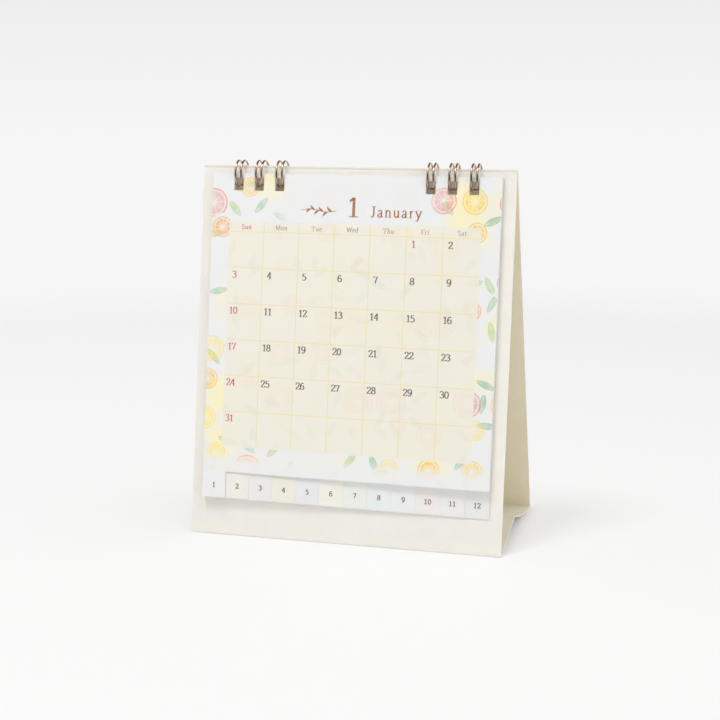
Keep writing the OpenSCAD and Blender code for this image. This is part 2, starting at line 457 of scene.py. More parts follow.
@dataclass(frozen=True)
class PrintedPaper:
    """Uncoated offset paper, printed.

    It is matt and white, with a cream panel for the month, fine rules between the days, and
    watercolour slices of citrus fruit and leaves.
    """

    white: str = "#ECECEC"
    cream: str = "#EEEADD"
    rule: str = "#EBDFA6"
    wash: str = "#FBF0B8"
    fruits: tuple[str, ...] = ("#F6D548", "#F3A93F", "#F9E27A", "#EC9C93", "#F4C54A")
    leaves: tuple[str, ...] = ("#9CCB9B", "#B5CF82", "#7DB98A")
    tabs: tuple[str, ...] = ("#ECECEC", "#ECECE4", "#EBE7E6", "#EBEADD", "#E8E7EA", "#EEEDE4",
                             "#E9ECE5", "#E7EAEC", "#E8EBEA", "#ECE8E5", "#EAE9E7", "#E7E8E4")
    # The month's panel: half its width, lengths below the top fold, and its columns and rows.
    panel_half: float = 50.58
    band_top: float = 22.3
    rows_top: float = 26.3
    panel_end: float = 111.8
    page_end: float = 121.8
    column: float = 14.45
    row: float = 14.25
    rule_mm: float = 0.25
    rule_inset: float = 0.4
    # The paint is paler on the panel, round the title and towards the foot of the page.
    panel_strength: float = 0.12
    title_fade: Pair = (25.0, 36.0)
    title_strength: float = 0.03
    foot_fade: Pair = (113.0, 118.5)
    foot_strength: float = 0.08
    # Slices of fruit: spacing, straying from an even grid, radius, and the brush's wobble.
    fruit_cell: float = 15.0
    fruit_jitter: float = 0.55
    fruit_radius: Pair = (3.6, 6.2)
    fruit_wobble: Pair = (0.12, 0.9)
    # Strength of the paint from a slice's core to its rind, at shares of the radius.
    fruit_ramp: tuple[Pair, ...] = ((0.0, 0.1), (0.1, 0.25), (0.3, 0.55), (0.74, 0.85),
                                    (0.78, 0.12), (0.86, 0.16), (0.89, 0.8), (0.97, 1.0),
                                    (1.0, 0.0))
    # Half the number of segments, the turn of the first, and the pale gaps between them.
    segments: Pair = (4.5, 0.6)
    segment_gap: Pair = (0.05, 0.16)
    gap_strength: float = 0.2
    rind_start: float = 0.82
    # Share of the places that are left without a slice.
    fruit_bare: float = 0.35
    # Leaves: spacing, straying, half of length and width, paint from the middle out, and the vein.
    leaf_cell: float = 8.6
    leaf_jitter: float = 0.8
    leaf_half: Pair = (4.2, 1.35)
    leaf_ramp: tuple[Pair, ...] = ((0.0, 0.95), (0.55, 0.55), (0.9, 0.8), (0.97, 0.9), (1.0, 0.0))
    vein_levels: Pair = (0.04, 0.16)
    vein_strength: float = 0.45
    leaf_bare: float = 0.45
    # Washes of thin paint, and the uneven pigment in the rest: sizes, and levels of the noise.
    wash_mm: float = 22.0
    wash_levels: Pair = (0.46, 0.68)
    wash_strength: float = 0.75
    pigment_mm: float = 2.6
    pigment_levels: Pair = (0.3, 0.7)
    pigment_least: float = 0.62
    # Each month shows another part of the pattern.
    month_shift: Spot = (61.0, 37.0, 0.0)
    # Fibres are finer than 0.1 mm: they are drawn 0.4 mm long, as coarse as they need to show.
    fibre_mm: float = 0.4
    fibre_levels: Pair = (0.25, 0.75)
    roughness: float = 0.68
    gloss_swing: float = 0.05
    bump_mm: float = 0.006
    bump_strength: float = 0.5
    ior: float = 1.45

    def _stops(self, colours: Sequence[str]) -> list[tuple[float, tuple]]:
        """Spreads colours evenly over a ramp."""
        return [(i / len(colours), linear(c)) for i, c in enumerate(colours)]

    def _within(self, tree: bpy.types.NodeTree, across: Source, along: Source, half: float,
                top: float, end: float) -> bpy.types.Node:
        """Marks a rectangle on the page.

        Args:
            tree: the node tree.
            across: distance from the page's middle.
            along: distance below the top fold.
            half: half of the rectangle's width.
            top: its top edge below the fold.
            end: its lower edge below the fold.

        Returns:
            A node that is one inside and zero outside.
        """
        off = add(tree, "Math", (along, (top + end) / 2), operation="SUBTRACT")
        off = add(tree, "Math", (off,), operation="ABSOLUTE")
        tall = add(tree, "Math", (off, (end - top) / 2), operation="LESS_THAN")
        wide = add(tree, "Math", (across, half), operation="LESS_THAN")
        return add(tree, "Math", (tall, wide), operation="MULTIPLY")

    def _rules(self, tree: bpy.types.NodeTree, x: Source, s: Source) -> bpy.types.Node:
        """Marks the fine lines between the days.

        Args:
            tree: the node tree.
            x: distance to the right of the page's middle.
            s: distance below the top fold.

        Returns:
            A node that is one on a line.
        """
        found = []
        for along, start, pitch in ((x, -self.panel_half, self.column),
                                    (s, self.rows_top, self.row)):
            cell = add(tree, "Math", (along, start), operation="SUBTRACT")
            near = add(tree, "Math", (cell, pitch / 2), operation="PINGPONG")
            found.append(add(tree, "Math", (near, self.rule_mm / 2), operation="LESS_THAN"))
        return add(tree, "Math", found, operation="MAXIMUM")

    def _strength(self, tree: bpy.types.NodeTree, across: Source, s: Source,
                  panel: Source) -> bpy.types.Node:
        """Thins the paint on the panel, round the title and towards the foot of the page.

        Args:
            tree: the node tree.
            across: distance from the page's middle.
            s: distance below the top fold.
            panel: one on the panel.

        Returns:
            A node with the strength of the paint.
        """
        title = add(tree, "MapRange", (across, *self.title_fade, 1.0, 0.0),
                    interpolation_type="SMOOTHSTEP")
        above = add(tree, "Math", (s, self.band_top), operation="LESS_THAN")
        title = add(tree, "Math", (title, above), operation="MULTIPLY")
        pale: Source = 1.0
        for mark, strength in ((panel, self.panel_strength), (title, self.title_strength)):
            pale = add(tree, "Math", (mark, strength - 1, pale), operation="MULTIPLY_ADD")
        foot = add(tree, "MapRange", (s, *self.foot_fade, 1.0, self.foot_strength),
                   interpolation_type="SMOOTHSTEP")
        return add(tree, "Math", (pale, foot), operation="MULTIPLY")

    def _cells(self, tree: bpy.types.NodeTree, spot: Source, size: float,
               jitter: float) -> tuple[bpy.types.Node, bpy.types.Node]:
        """Scatters motifs over the page.

        Args:
            tree: the node tree.
            spot: place on the page in millimetres.
            size: distance between motifs in millimetres.
            jitter: how far the motifs stray from an even grid.

        Returns:
            The place from the nearest motif's middle, and three random numbers of that motif.
        """
        cells = add(tree, "TexVoronoi", {"Vector": spot, "Scale": 1 / size, "Randomness": jitter},
                    voronoi_dimensions="2D")
        local = add(tree, "VectorMath", (spot, cells.outputs["Position"]), operation="SUBTRACT")
        return local, add(tree, "SeparateColor", (cells.outputs["Color"],))

    def _fruit(self, tree: bpy.types.NodeTree, spot: Source,
               pigment: Source) -> tuple[Source, Source]:
        """Paints slices of citrus fruit: rind, pith and segments.

        Args:
            tree: the node tree.
            spot: place on the page in millimetres.
            pigment: uneven strength of the paint.

        Returns:
            Amount and colour of the paint.
        """
        local, chance = self._cells(tree, spot, self.fruit_cell, self.fruit_jitter)
        reach = add(tree, "VectorMath", (local,), operation="LENGTH").outputs["Value"]
        size = add(tree, "MapRange", (chance.outputs[1], 0.0, 1.0, *self.fruit_radius))
        share = add(tree, "Math", (reach, size), operation="DIVIDE")
        wobble = add(tree, "Math", (pigment, *self.fruit_wobble), operation="MULTIPLY_ADD")
        share = add(tree, "Math", (share, wobble), operation="MULTIPLY")
        amount = add(tree, "ValToRGB", (share,), stops=[(p, grey(v)) for p, v in self.fruit_ramp])
        parts = add(tree, "SeparateXYZ", (local,))
        angle = add(tree, "Math", (parts.outputs[1], parts.outputs[0]), operation="ARCTAN2")
        wave = add(tree, "Math", (angle, *self.segments), operation="MULTIPLY_ADD")
        for operation in ("SINE", "ABSOLUTE"):
            wave = add(tree, "Math", (wave,), operation=operation)
        wave = add(tree, "Math", (wave, share), operation="MULTIPLY")
        flesh = add(tree, "MapRange", (wave, *self.segment_gap, self.gap_strength, 1.0))
        rind = add(tree, "Math", (share, self.rind_start), operation="GREATER_THAN")
        flesh = add(tree, "Math", (flesh, rind), operation="MAXIMUM")
        shown = add(tree, "Math", (chance.outputs[0], self.fruit_bare), operation="GREATER_THAN")
        for layer in (flesh, shown, pigment):
            amount = add(tree, "Math", (amount, layer), operation="MULTIPLY")
        colour = add(tree, "ValToRGB", (chance.outputs[2],), stops=self._stops(self.fruits))
        colour.color_ramp.interpolation = "CONSTANT"
        return amount.outputs[0], colour.outputs[0]

    def _leaf(self, tree: bpy.types.NodeTree, spot: Source,
              pigment: Source) -> tuple[Source, Source]:
        """Paints pointed leaves that lie at every angle.

        Args:
            tree: the node tree.
            spot: place on the page in millimetres.
            pigment: uneven strength of the paint.

        Returns:
            Amount and colour of the paint.
        """
        local, chance = self._cells(tree, spot, self.leaf_cell, self.leaf_jitter)
        angle = add(tree, "Math", (chance.outputs[2], 2 * math.pi), operation="MULTIPLY")
        turned = add(tree, "VectorRotate", {"Vector": local, "Angle": angle},
                     rotation_type="Z_AXIS")
        parts = add(tree, "SeparateXYZ", (turned,))
        length = add(tree, "Math", (parts.outputs[0], self.leaf_half[0]), operation="DIVIDE")
        length = add(tree, "Math", (length, 2.0), operation="POWER")
        width = add(tree, "Math", (parts.outputs[1], self.leaf_half[1]), operation="DIVIDE")
        width = add(tree, "Math", (width,), operation="ABSOLUTE")
        share = add(tree, "Math", (length, width), operation="ADD")
        amount = add(tree, "ValToRGB", (share,), stops=[(p, grey(v)) for p, v in self.leaf_ramp])
        vein = add(tree, "MapRange", (width, *self.vein_levels, self.vein_strength, 1.0))
        shown = add(tree, "Math", (chance.outputs[0], self.leaf_bare), operation="GREATER_THAN")
        for layer in (vein, shown, pigment):
            amount = add(tree, "Math", (amount, layer), operation="MULTIPLY")
        colour = add(tree, "ValToRGB", (chance.outputs[1],), stops=self._stops(self.leaves))
        colour.color_ramp.interpolation = "CONSTANT"
        return amount.outputs[0], colour.outputs[0]

    def _print(self, tree: bpy.types.NodeTree) -> Source:
        """Prints the page: panel, paints, rules, the tab's tint and the blank back.

        Args:
            tree: the node tree.

        Returns:
            The colour at each point's place on its page.
        """
        mark = add(tree, "Attribute", attribute_name=PAGE).outputs["Vector"]
        x, s, month = add(tree, "SeparateXYZ", (mark,)).outputs
        across = add(tree, "Math", (x,), operation="ABSOLUTE")
        flat = add(tree, "CombineXYZ", (x, s))
        spot = add(tree, "VectorMath", (month, self.month_shift, flat), operation="MULTIPLY_ADD")
        panel = self._within(tree, across, s, self.panel_half, self.band_top, self.panel_end)
        inner = self._within(tree, across, s, self.panel_half - self.rule_inset, self.band_top,
                             self.panel_end - self.rule_inset)
        pale = self._strength(tree, across, s, panel)
        blot = add(tree, "TexNoise", {"Vector": spot, "Scale": 1 / self.pigment_mm, "Detail": 3.0},
                   noise_dimensions="2D")
        pigment = add(tree, "MapRange", (blot, *self.pigment_levels, self.pigment_least, 1.0))
        cloud = add(tree, "TexNoise", {"Vector": spot, "Scale": 1 / self.wash_mm, "Detail": 2.0},
                    noise_dimensions="2D")
        cloud = add(tree, "MapRange", (cloud, *self.wash_levels, 0.0, self.wash_strength))
        layers = [(panel, linear(self.cream))]
        for amount, paint in ((cloud, linear(self.wash)), self._leaf(tree, spot, pigment),
                              self._fruit(tree, spot, pigment)):
            layers.append((add(tree, "Math", (amount, pale), operation="MULTIPLY"), paint))
        rule = add(tree, "Math", (self._rules(tree, x, s), inner), operation="MULTIPLY")
        turn = add(tree, "MapRange", (month, 0.5, len(self.tabs) + 0.5))
        tint = add(tree, "ValToRGB", (turn,), stops=self._stops(self.tabs))
        tint.color_ramp.interpolation = "CONSTANT"
        tab = add(tree, "Math", (s, self.page_end), operation="GREATER_THAN")
        back = add(tree, "Math", (s, 0.0), operation="LESS_THAN")
        layers += [(rule, linear(self.rule)), (tab, tint), (back, linear(self.white))]
        colour: Source = linear(self.white)
        for amount, paint in layers:
            colour = add(tree, "Mix", {0: amount, 6: colour, 7: paint}, data_type="RGBA").outputs[2]
        return colour

    def build(self) -> bpy.types.Material:
        """Builds the printed paper's material.

        Returns:
            The material.
        """
        made, tree = new_material("printed_offset_paper")
        colour = self._print(tree)
        where = add(tree, "TexCoord").outputs["Object"]
        fibre = add(tree, "TexNoise",
                    {"Vector": where, "Scale": 1 / (self.fibre_mm * MM), "Detail": 3.0})
        gloss = add(tree, "MapRange", (fibre, *self.fibre_levels, self.roughness - self.gloss_swing,
                                       self.roughness + self.gloss_swing))
        bump = add(tree, "Bump", {"Height": fibre, "Distance": self.bump_mm * MM,
                                  "Strength": self.bump_strength})
        bsdf = add(tree, "BsdfPrincipled",
                   {"Base Color": colour, "Roughness": gloss, "Normal": bump, "IOR": self.ior})
        add(tree, "OutputMaterial", (bsdf,))
        return made


@dataclass
class Sides:
    """Side view of the stand: the front panel's frame, the creases and the rear panel's lean."""

    stand_w: float = 126.0
    front_len: float = 147.5
    front_lean: float = math.radians(8.6)
    foot_y: float = -35.3758
    foot_depth: float = 71.0
    board_t: float = 0.6
    fold_r: float = 0.7
    fold_seat: float = 0.02
    crease_z: float = 0.75
    ridge_h: float = 6.2
    rear_edge_gap: float = 3.0
    run_x: float = 38.8
    loops: int = 3
    loop_pitch: float = 8.467
    hole_w: float = 3.8

    def __post_init__(self) -> None:
        """Works out the fold, the creases and the ridge from the sizes."""
        self.fold = self.side(-self.fold_r - self.fold_seat, self.fold_r)
        foot = np.array((self.foot_y + self.foot_depth, 0.0))
        span = foot - self.fold
        self.rear_len = float(np.linalg.norm(span))
        self.rear_lean = math.atan2(span[0], -span[1]) - math.asin(self.fold_r / self.rear_len)
        t, lean = self.board_t, self.front_lean
        crease_s = self.front_len - (self.crease_z + t * math.sin(lean)) / math.cos(lean)
        self.front_crease = self.side(-t, crease_s)
        inner = self.fold_r - t
        fall = self.fold[1] + inner * math.sin(self.rear_lean) - self.crease_z
        self.rear_crease = self.rear(inner, fall / math.cos(self.rear_lean))
        span_y = self.rear_crease[0] - self.front_crease[0]
        gap = (np.linalg.norm(self.rear_crease - self.fold)
               - np.linalg.norm(self.front_crease - self.fold)) / 2
        wide2 = (span_y / 2) ** 2 - gap ** 2
        ridge_y = ((self.front_crease[0] + self.rear_crease[0]) / 2
                   - gap * math.sqrt(1 + self.ridge_h ** 2 / wide2))
        top = np.array((ridge_y, self.crease_z + self.ridge_h))
        self.front_slope = math.atan2(self.ridge_h, top[0] - self.front_crease[0])
        self.rear_slope = math.atan2(self.ridge_h, self.rear_crease[0] - top[0])
        tilt = (self.front_slope - self.rear_slope) / 2
        drop = t / math.cos((self.front_slope + self.rear_slope) / 2)
        self.ridge_top = top
        self.ridge = top + drop * np.array((math.sin(tilt), -math.cos(tilt)))

    def side(self, n: float, s: float) -> np.ndarray:
        """Places a point by the front panel.

        Args:
            n: distance before the front face.
            s: distance below the top of the fold.

        Returns:
            Its y and z.
        """
        up = self.front_len - s
        c, k = math.cos(self.front_lean), math.sin(self.front_lean)
        return np.array((self.foot_y - n * c + up * k, n * k + up * c))

    def rear(self, n: float, u: float) -> np.ndarray:
        """Gives y and z of a point n behind the fold's axis and u down the rear panel."""
        c, k = math.cos(self.rear_lean), math.sin(self.rear_lean)
        return self.fold + np.array((n * c + u * k, n * k - u * c))

    def loop_places(self) -> list[float]:
        """Places the double loops of both runs.

        Returns:
            The middle of each loop across the stand.
        """
        middle = (self.loops - 1) / 2
        return [side * self.run_x + (i - middle) * self.loop_pitch
                for side in (-1, 1) for i in range(self.loops)]

    def hole_edges(self) -> list[float]:
        """Gives the side edges of the punched holes."""
        return [x + side * self.hole_w / 2 for x in self.loop_places() for side in (-1, 1)]

    def in_hole(self, x: float) -> bool:
        """Tells whether x lies across a punched hole."""
        return any(abs(x - place) < self.hole_w / 2 for place in self.loop_places())


@dataclass
class CardStand:
    """The folded stand: an easel of two panels on a rounded fold, and a base with a ridge."""

    sides: Sides
    board: bpy.types.Material
    # Painted light: the faces inside the stand get a lighter, warmer copy of the board, which
    # brightens the shade there.
    reverse: bpy.types.Material
    front_hole: Pair = (7.35, 10.14)
    rear_hole: Pair = (6.3, 7.9)
    # The scored line in front of the fold: its place, half its width and its depth.
    score_s: float = 1.15
    score_w: float = 0.5
    score_deep: float = 0.07
    cut_bevel: float = 0.07
    foot_line: float = 0.3
    # The painted shade reaches this many fold radii or foot lines, and starts just below the fold.
    crease_reach: float = 1.2
    crease_below: float = 0.1
    crease_gap: float = 0.36
    flap_gap: float = 0.08
    # Grid of the cards: cells across, along a panel below its holes, on the fold and on the score.
    across: int = 14
    base_across: int = 8
    panel_start: float = 14.0
    panel_steps: int = 12
    fold_steps: int = 48
    score_steps: int = 8
    # Cells along the base's front flap, its ridge, its rear flap and the lip's curl.
    base_steps: tuple[int, int, int] = (6, 10, 16)
    curl_steps: int = 8
    # Points of the ridge that are closer than this become one.
    weld_mm: float = 1e-4
    # The base's card is sprung: its ridge stands up, its rear flap sags, and it curls at the rear.
    ridge_lift: float = 0.6
    flap_sag: float = 1.2
    curl_r: float = 1.5

    def _easel_line(self) -> tuple[list[float], list[float]]:
        """Gives grid lines along the easel card.

        Returns:
            Lines on the front panel and round the fold, and lines down the rear panel.
        """
        g = self.sides
        front = lines([g.fold_r], self.front_hole,
                      steps(self.panel_start, g.front_len, self.panel_steps),
                      [g.front_len - self.foot_line, g.front_len - 2 * self.foot_line],
                      steps(self.score_s - self.score_w, self.score_s + self.score_w,
                            self.score_steps))
        arc = (math.pi - g.front_lean - g.rear_lean) * g.fold_r
        front_us = sorted(-(s - g.fold_r) for s in front if s >= g.fold_r)
        rear = lines(self.rear_hole, steps(self.panel_start, g.rear_len, self.panel_steps))
        return front_us + steps(0, arc, self.fold_steps)[1:], [arc + u for u in rear]

    def easel(self) -> bpy.types.Object:
        """Builds the front and rear panels as one folded card.

        Returns:
            The dressed piece.
        """
        g = self.sides
        head, tail = self._easel_line()
        arc = head[-1]
        foot_u = arc + g.rear_len

        def place(x: float, u: float, side: int) -> Spot:
            """Puts a point of the card on its outer or inner face.

            Args:
                x: its place across the stand.
                u: its place along the card from the front of the fold.
                side: 0 on the outer face, 1 on the inner one.

            Returns:
                The point.
            """
            if u <= 0:
                s = g.fold_r - u
                off = abs(s - self.score_s) / self.score_w
                dip = self.score_deep * (0.5 + 0.5 * math.cos(math.pi * off)) if off < 1 else 0.0
                y, z = g.side(-g.board_t if side else -dip, s)
                if u == head[0]:
                    z = 0.0
                    y = g.foot_y + (g.board_t / math.cos(g.front_lean) if side else 0.0)
            elif u <= arc:
                turn = math.pi - u / g.fold_r - g.front_lean
                reach = g.fold_r - (g.board_t if side else 0.0)
                y, z = g.fold + reach * np.array((math.cos(turn), math.sin(turn)))
            else:
                n = g.fold_r - (g.board_t if side else 0.0)
                down = u - arc
                if u >= foot_u - SAME_PLACE:
                    down = (g.fold[1] + n * math.sin(g.rear_lean)) / math.cos(g.rear_lean)
                y, z = g.rear(n, down)
            return (x, float(y), float(z))

        def kept(x: float, u: float) -> bool:
            """Tells whether the card is not punched at a place.

            Args:
                x: the place across the stand.
                u: the place along the card from the front of the fold.

            Returns:
                True outside the holes.
            """
            low, high = self.front_hole if u < 0 else self.rear_hole
            along = g.fold_r - u if u < 0 else u - arc
            return not (g.in_hole(x) and low < along < high)

        half = g.stand_w / 2
        xs = lines(steps(-half, half, self.across), g.hole_edges())
        piece = shell("easel_card", xs, head + tail, kept, place, (self.board, self.reverse))
        sides = [(v.co.y / MM, v.co.z / MM) for v in piece.data.vertices]
        fold_reach, foot_reach = self.crease_reach * g.fold_r, self.crease_reach * self.foot_line
        fold_start = g.fold[1] - self.crease_below
        # Points on the top fold and at the front panel's foot are marked for painted shade.
        shaded_points = [float(z > fold_start and math.dist((y, z), g.fold) < fold_reach
                         or y < 0 and z < foot_reach) for y, z in sides]
        piece.data.attributes.new(FOLD_SHADE, "FLOAT", "POINT").data.foreach_set("value", shaded_points)
        bevelled(piece, self.cut_bevel)
        fold_y, fold_z = map(float, g.fold)
        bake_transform(piece)
        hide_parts("front_panel", "rear_panel")
        return piece

    def base(self) -> bpy.types.Object:
        """Builds both flaps of the base as one card, folded at the ridge.

        Returns:
            The dressed piece.
        """
        g = self.sides
        front = np.array((-math.cos(g.front_slope), -math.sin(g.front_slope)))
        rear = np.array((math.cos(g.rear_slope), -math.sin(g.rear_slope)))
        front_up = np.array((-math.sin(g.front_slope), math.cos(g.front_slope)))
        rear_up = np.array((math.sin(g.rear_slope), math.cos(g.rear_slope)))
        front_reach = float(np.linalg.norm(g.ridge_top - g.front_crease)) - self.crease_gap
        rear_reach = float(np.linalg.norm(g.rear_crease - g.ridge_top)) - g.rear_edge_gap
        turn = g.front_slope + g.rear_slope
        front_steps, ridge_steps, rear_steps = self.base_steps
        us = (steps(-front_reach, 0, front_steps)[:-1] + steps(0, turn, ridge_steps)
              + [turn + r for r in steps(0, rear_reach, rear_steps)[1:]])

        def place(x: float, u: float, side: int) -> Spot:
            """Puts a point of the card on its upper or lower face.

            Args:
                x: its place across the stand.
                u: its place along the card from the front of the ridge.
                side: 0 on the upper face, 1 on the lower one.

            Returns:
                The point.
            """
            thick = 0 if side else g.board_t
            if u <= 0:
                spot = g.ridge - u * front + thick * front_up
                lift = self.ridge_lift * (1 + u / front_reach)
            elif u <= turn:
                angle = math.pi / 2 + g.front_slope - u
                spot = g.ridge + thick * np.array((math.cos(angle), math.sin(angle)))
                lift = self.ridge_lift
            else:
                spot = g.ridge + (u - turn) * rear + thick * rear_up
                share = (u - turn) / rear_reach
                lift = self.ridge_lift * (1 - share) - self.flap_sag * math.sin(math.pi * share)
            return (x, float(spot[0]), float(spot[1]) + lift)

        half = g.stand_w / 2
        piece = shell("base_card", steps(-half, half, self.base_across), us, lambda x, u: True,
                      place, (self.reverse, self.board))
        work = bmesh.new()
        work.from_mesh(piece.data)
        bmesh.ops.remove_doubles(work, verts=work.verts, dist=self.weld_mm * MM)
        work.to_mesh(piece.data)
        work.free()
        bevelled(piece, self.cut_bevel)
        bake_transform(piece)
        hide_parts("base_front_flap", "base_rear_flap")
        return piece

    def rear_lip(self) -> bpy.types.Object:
        """Builds the base's last strip, which stays on the rear panel where the card is opened.

        Returns:
            The dressed piece.
        """
        g = self.sides
        rear = np.array((math.cos(g.rear_slope), -math.sin(g.rear_slope)))
        up = np.array((math.sin(g.rear_slope), math.cos(g.rear_slope)))

        def place(x: float, u: float, side: int) -> Spot:
            """Puts a point of the strip on its upper or lower face.

            Args:
                x: its place across the stand.
                u: its distance from the rear crease.
                side: 0 on the upper face, 1 on the lower one.

            Returns:
                The point.
            """
            spot = g.rear_crease - u * rear - (g.board_t if side else 0.0) * up
            if u < self.curl_r and not side:
                rise = math.sqrt(self.curl_r ** 2 - (self.curl_r - u) ** 2)
                spot = spot + (self.curl_r - rise) * up
            return (x, float(spot[0]), float(spot[1]))

        half = g.stand_w / 2
        us = [g.rear_edge_gap - self.flap_gap] + steps(self.curl_r, 0.0, self.curl_steps)
        piece = shell("base_rear_lip", steps(-half, half, self.base_across), us, lambda x, u: True,
                      place, (self.reverse, self.board))
        bevelled(piece, self.cut_bevel)
        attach(piece, "rear_panel")
        return piece

    def glue_tab(self) -> bpy.types.Object:
        """Dresses the glued end of the base card inside the front panel.

        Returns:
            The dressed solid.
        """
        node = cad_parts["glue_tab"]
        node.data.materials.clear()
        node.data.materials.append(self.reverse)
        return node


@dataclass
class TwinLoopWire:
    """One run of twin-loop wire: double loops over the fold, joined by a spine inside the stand."""

    sides: Sides
    lacquer: bpy.types.Material
    wire_d: float = 0.84
    leg_gap: float = 2.3
    # Middle of a loop as n and s on the front panel, and its reach to the front, the rear and up.
    ring_middle: Pair = (-0.45, 3.15)
    ring_front: float = 4.35
    ring_rear: float = 5.4
    ring_rise: float = 5.0
    spine_clear: float = 0.2
    spine_bend: float = 0.55
    tip_gap: float = 0.45
    # The wire's cut ends: length of the eased edge, and radius of the flat as a share of wire_d.
    end_bevel: float = 0.12
    end_share: float = 0.36
    wire_sides: int = 14
    loop_step: float = math.radians(5)
    bend_steps: int = 6
    tip_steps: int = 12
    smooth_below: float = 50.0

    def _flat_path(self) -> list[Pair]:
        """Unrolls the wire's line.

        Returns:
            Points of the line: x along the spine, and the way round the loop.
        """
        g, half = self.sides, self.leg_gap / 2
        spine_n = g.board_t + self.spine_clear + self.wire_d / 2 + self.ring_middle[0]
        spine_a = -self.ring_rise * math.asin(spine_n / self.ring_rear)
        turn_a = 2 * math.pi * self.ring_rise + spine_a - self.wire_d - self.tip_gap - half
        last_turn = turn_a / self.ring_rise - self.loop_step / 2
        rise = [self.ring_rise * d for d in np.arange(0, last_turn, self.loop_step)]
        path: list[Pair] = []
        for i in range(g.loops):
            x = (i - (g.loops - 1) / 2) * g.loop_pitch
            bend = [(self.spine_bend * (1 - math.sin(b)),
                     spine_a + self.spine_bend * (1 - math.cos(b)))
                    for b in steps(0, math.pi / 2, self.bend_steps)]
            path += [(x - half, spine_a)] if i == 0 else [(x - half - b, a) for b, a in bend]
            path += [(x - half, a) for a in rise]
            path += [(x - half * math.cos(t), turn_a + half * math.sin(t))
                     for t in steps(0, math.pi, self.tip_steps)]
            path += [(x + half, a) for a in reversed(rise)]
            back = [(x + half + b, a) for b, a in reversed(bend)]
            path += [(x + half, spine_a)] if i == g.loops - 1 else back
        return path

    def build(self, name: str, node: str, middle: float) -> bpy.types.Object:
        """Builds one run as a round tube along its line.

        Args:
            name: the piece's name.
            node: the solid that it stands for.
            middle: where the run's middle lies across the stand.

        Returns:
            The dressed piece.
        """
        g = self.sides
        n0, s0 = self.ring_middle
        axis = np.array((0.0, *g.side(n0, s0)))
        line, outs = [], []
        for x, a in self._flat_path():
            turn = a / self.ring_rise
            reach = self.ring_front if math.sin(turn) > 0 else self.ring_rear
            n, s = n0 + reach * math.sin(turn), s0 + self.ring_rise * math.cos(turn)
            spot = np.array((0.0, *g.side(n, s)))
            outs.append(spot - axis)
            line.append(spot + np.array((middle + x, 0.0, 0.0)))
        spots: list[Spot] = []
        faces: list[list[int]] = []
        last, m = len(line) - 1, self.wire_sides
        rings: list[np.ndarray] = []
        for i, spot in enumerate(line):
            way = line[min(i + 1, last)] - line[max(i - 1, 0)]
            way /= np.linalg.norm(way)
            out = outs[i] - (outs[i] @ way) * way
            out /= np.linalg.norm(out)
            across = np.cross(way, out)
            turn = np.arange(m) * 2 * math.pi / m
            ring = np.outer(np.cos(turn), out) + np.outer(np.sin(turn), across)
            if i in (0, last):
                inset = way * (self.end_bevel if i == 0 else -self.end_bevel)
                ends = [spot + ring * self.wire_d * self.end_share,
                        spot + inset + ring * self.wire_d / 2]
                rings += ends if i == 0 else ends[::-1]
            else:
                rings.append(spot + ring * self.wire_d / 2)
        for ring in rings:
            spots += [tuple(map(float, p)) for p in ring]
        for i in range(len(rings) - 1):
            for j in range(m):
                a, b = i * m + j, i * m + (j + 1) % m
                faces.append([a, b, b + m, a + m])
        faces.append(list(range(m))[::-1])
        faces.append([len(spots) - m + j for j in range(m)])
        piece = new_piece(name, spots, faces, self.smooth_below)
        piece.data.materials.append(self.lacquer)
        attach(piece, "stand")
        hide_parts(node)
        return piece


@dataclass(frozen=True)
class Nib:
    """A broad pen, with thick strokes up and down and thin ones across, as shares of the height."""

    thick: float
    thin: float

    def widths(self, line: np.ndarray) -> np.ndarray:
        """Gives the width of a stroke.

        Args:
            line: points of the stroke, in a box one high.

        Returns:
            The width at each point.
        """
        way = np.gradient(line, axis=0)
        steep = np.abs(way[:, 1]) / np.maximum(np.linalg.norm(way, axis=1), NO_LENGTH)
        return self.thin + (self.thick - self.thin) * steep


def eased(points: Sequence[Pair], parts: int = CURVE_PARTS) -> np.ndarray:
    """Draws a smooth line through points.

    Args:
        points: the points to pass.
        parts: pieces between two points.

    Returns:
        Points of the smooth line.
    """
    p = np.array([points[0], *points, points[-1]], float)
    made = []
    for i in range(1, len(p) - 2):
        for t in np.arange(parts) / parts:
            a, b, c, d = p[i - 1:i + 3]
            made.append(0.5 * (2 * b + (c - a) * t + (2 * a - 5 * b + 4 * c - d) * t * t
                               + (3 * b - a - 3 * c + d) * t ** 3))
    return np.array([*made, p[-2]])


def oval(x: float, y: float, rx: float, ry: float) -> tuple[Pair, ...]:
    """Gives points round an oval, closed."""
    turns = steps(0, 2 * math.pi, OVAL_PARTS)
    return tuple((x + rx * math.sin(t), y + ry * math.cos(t)) for t in turns)


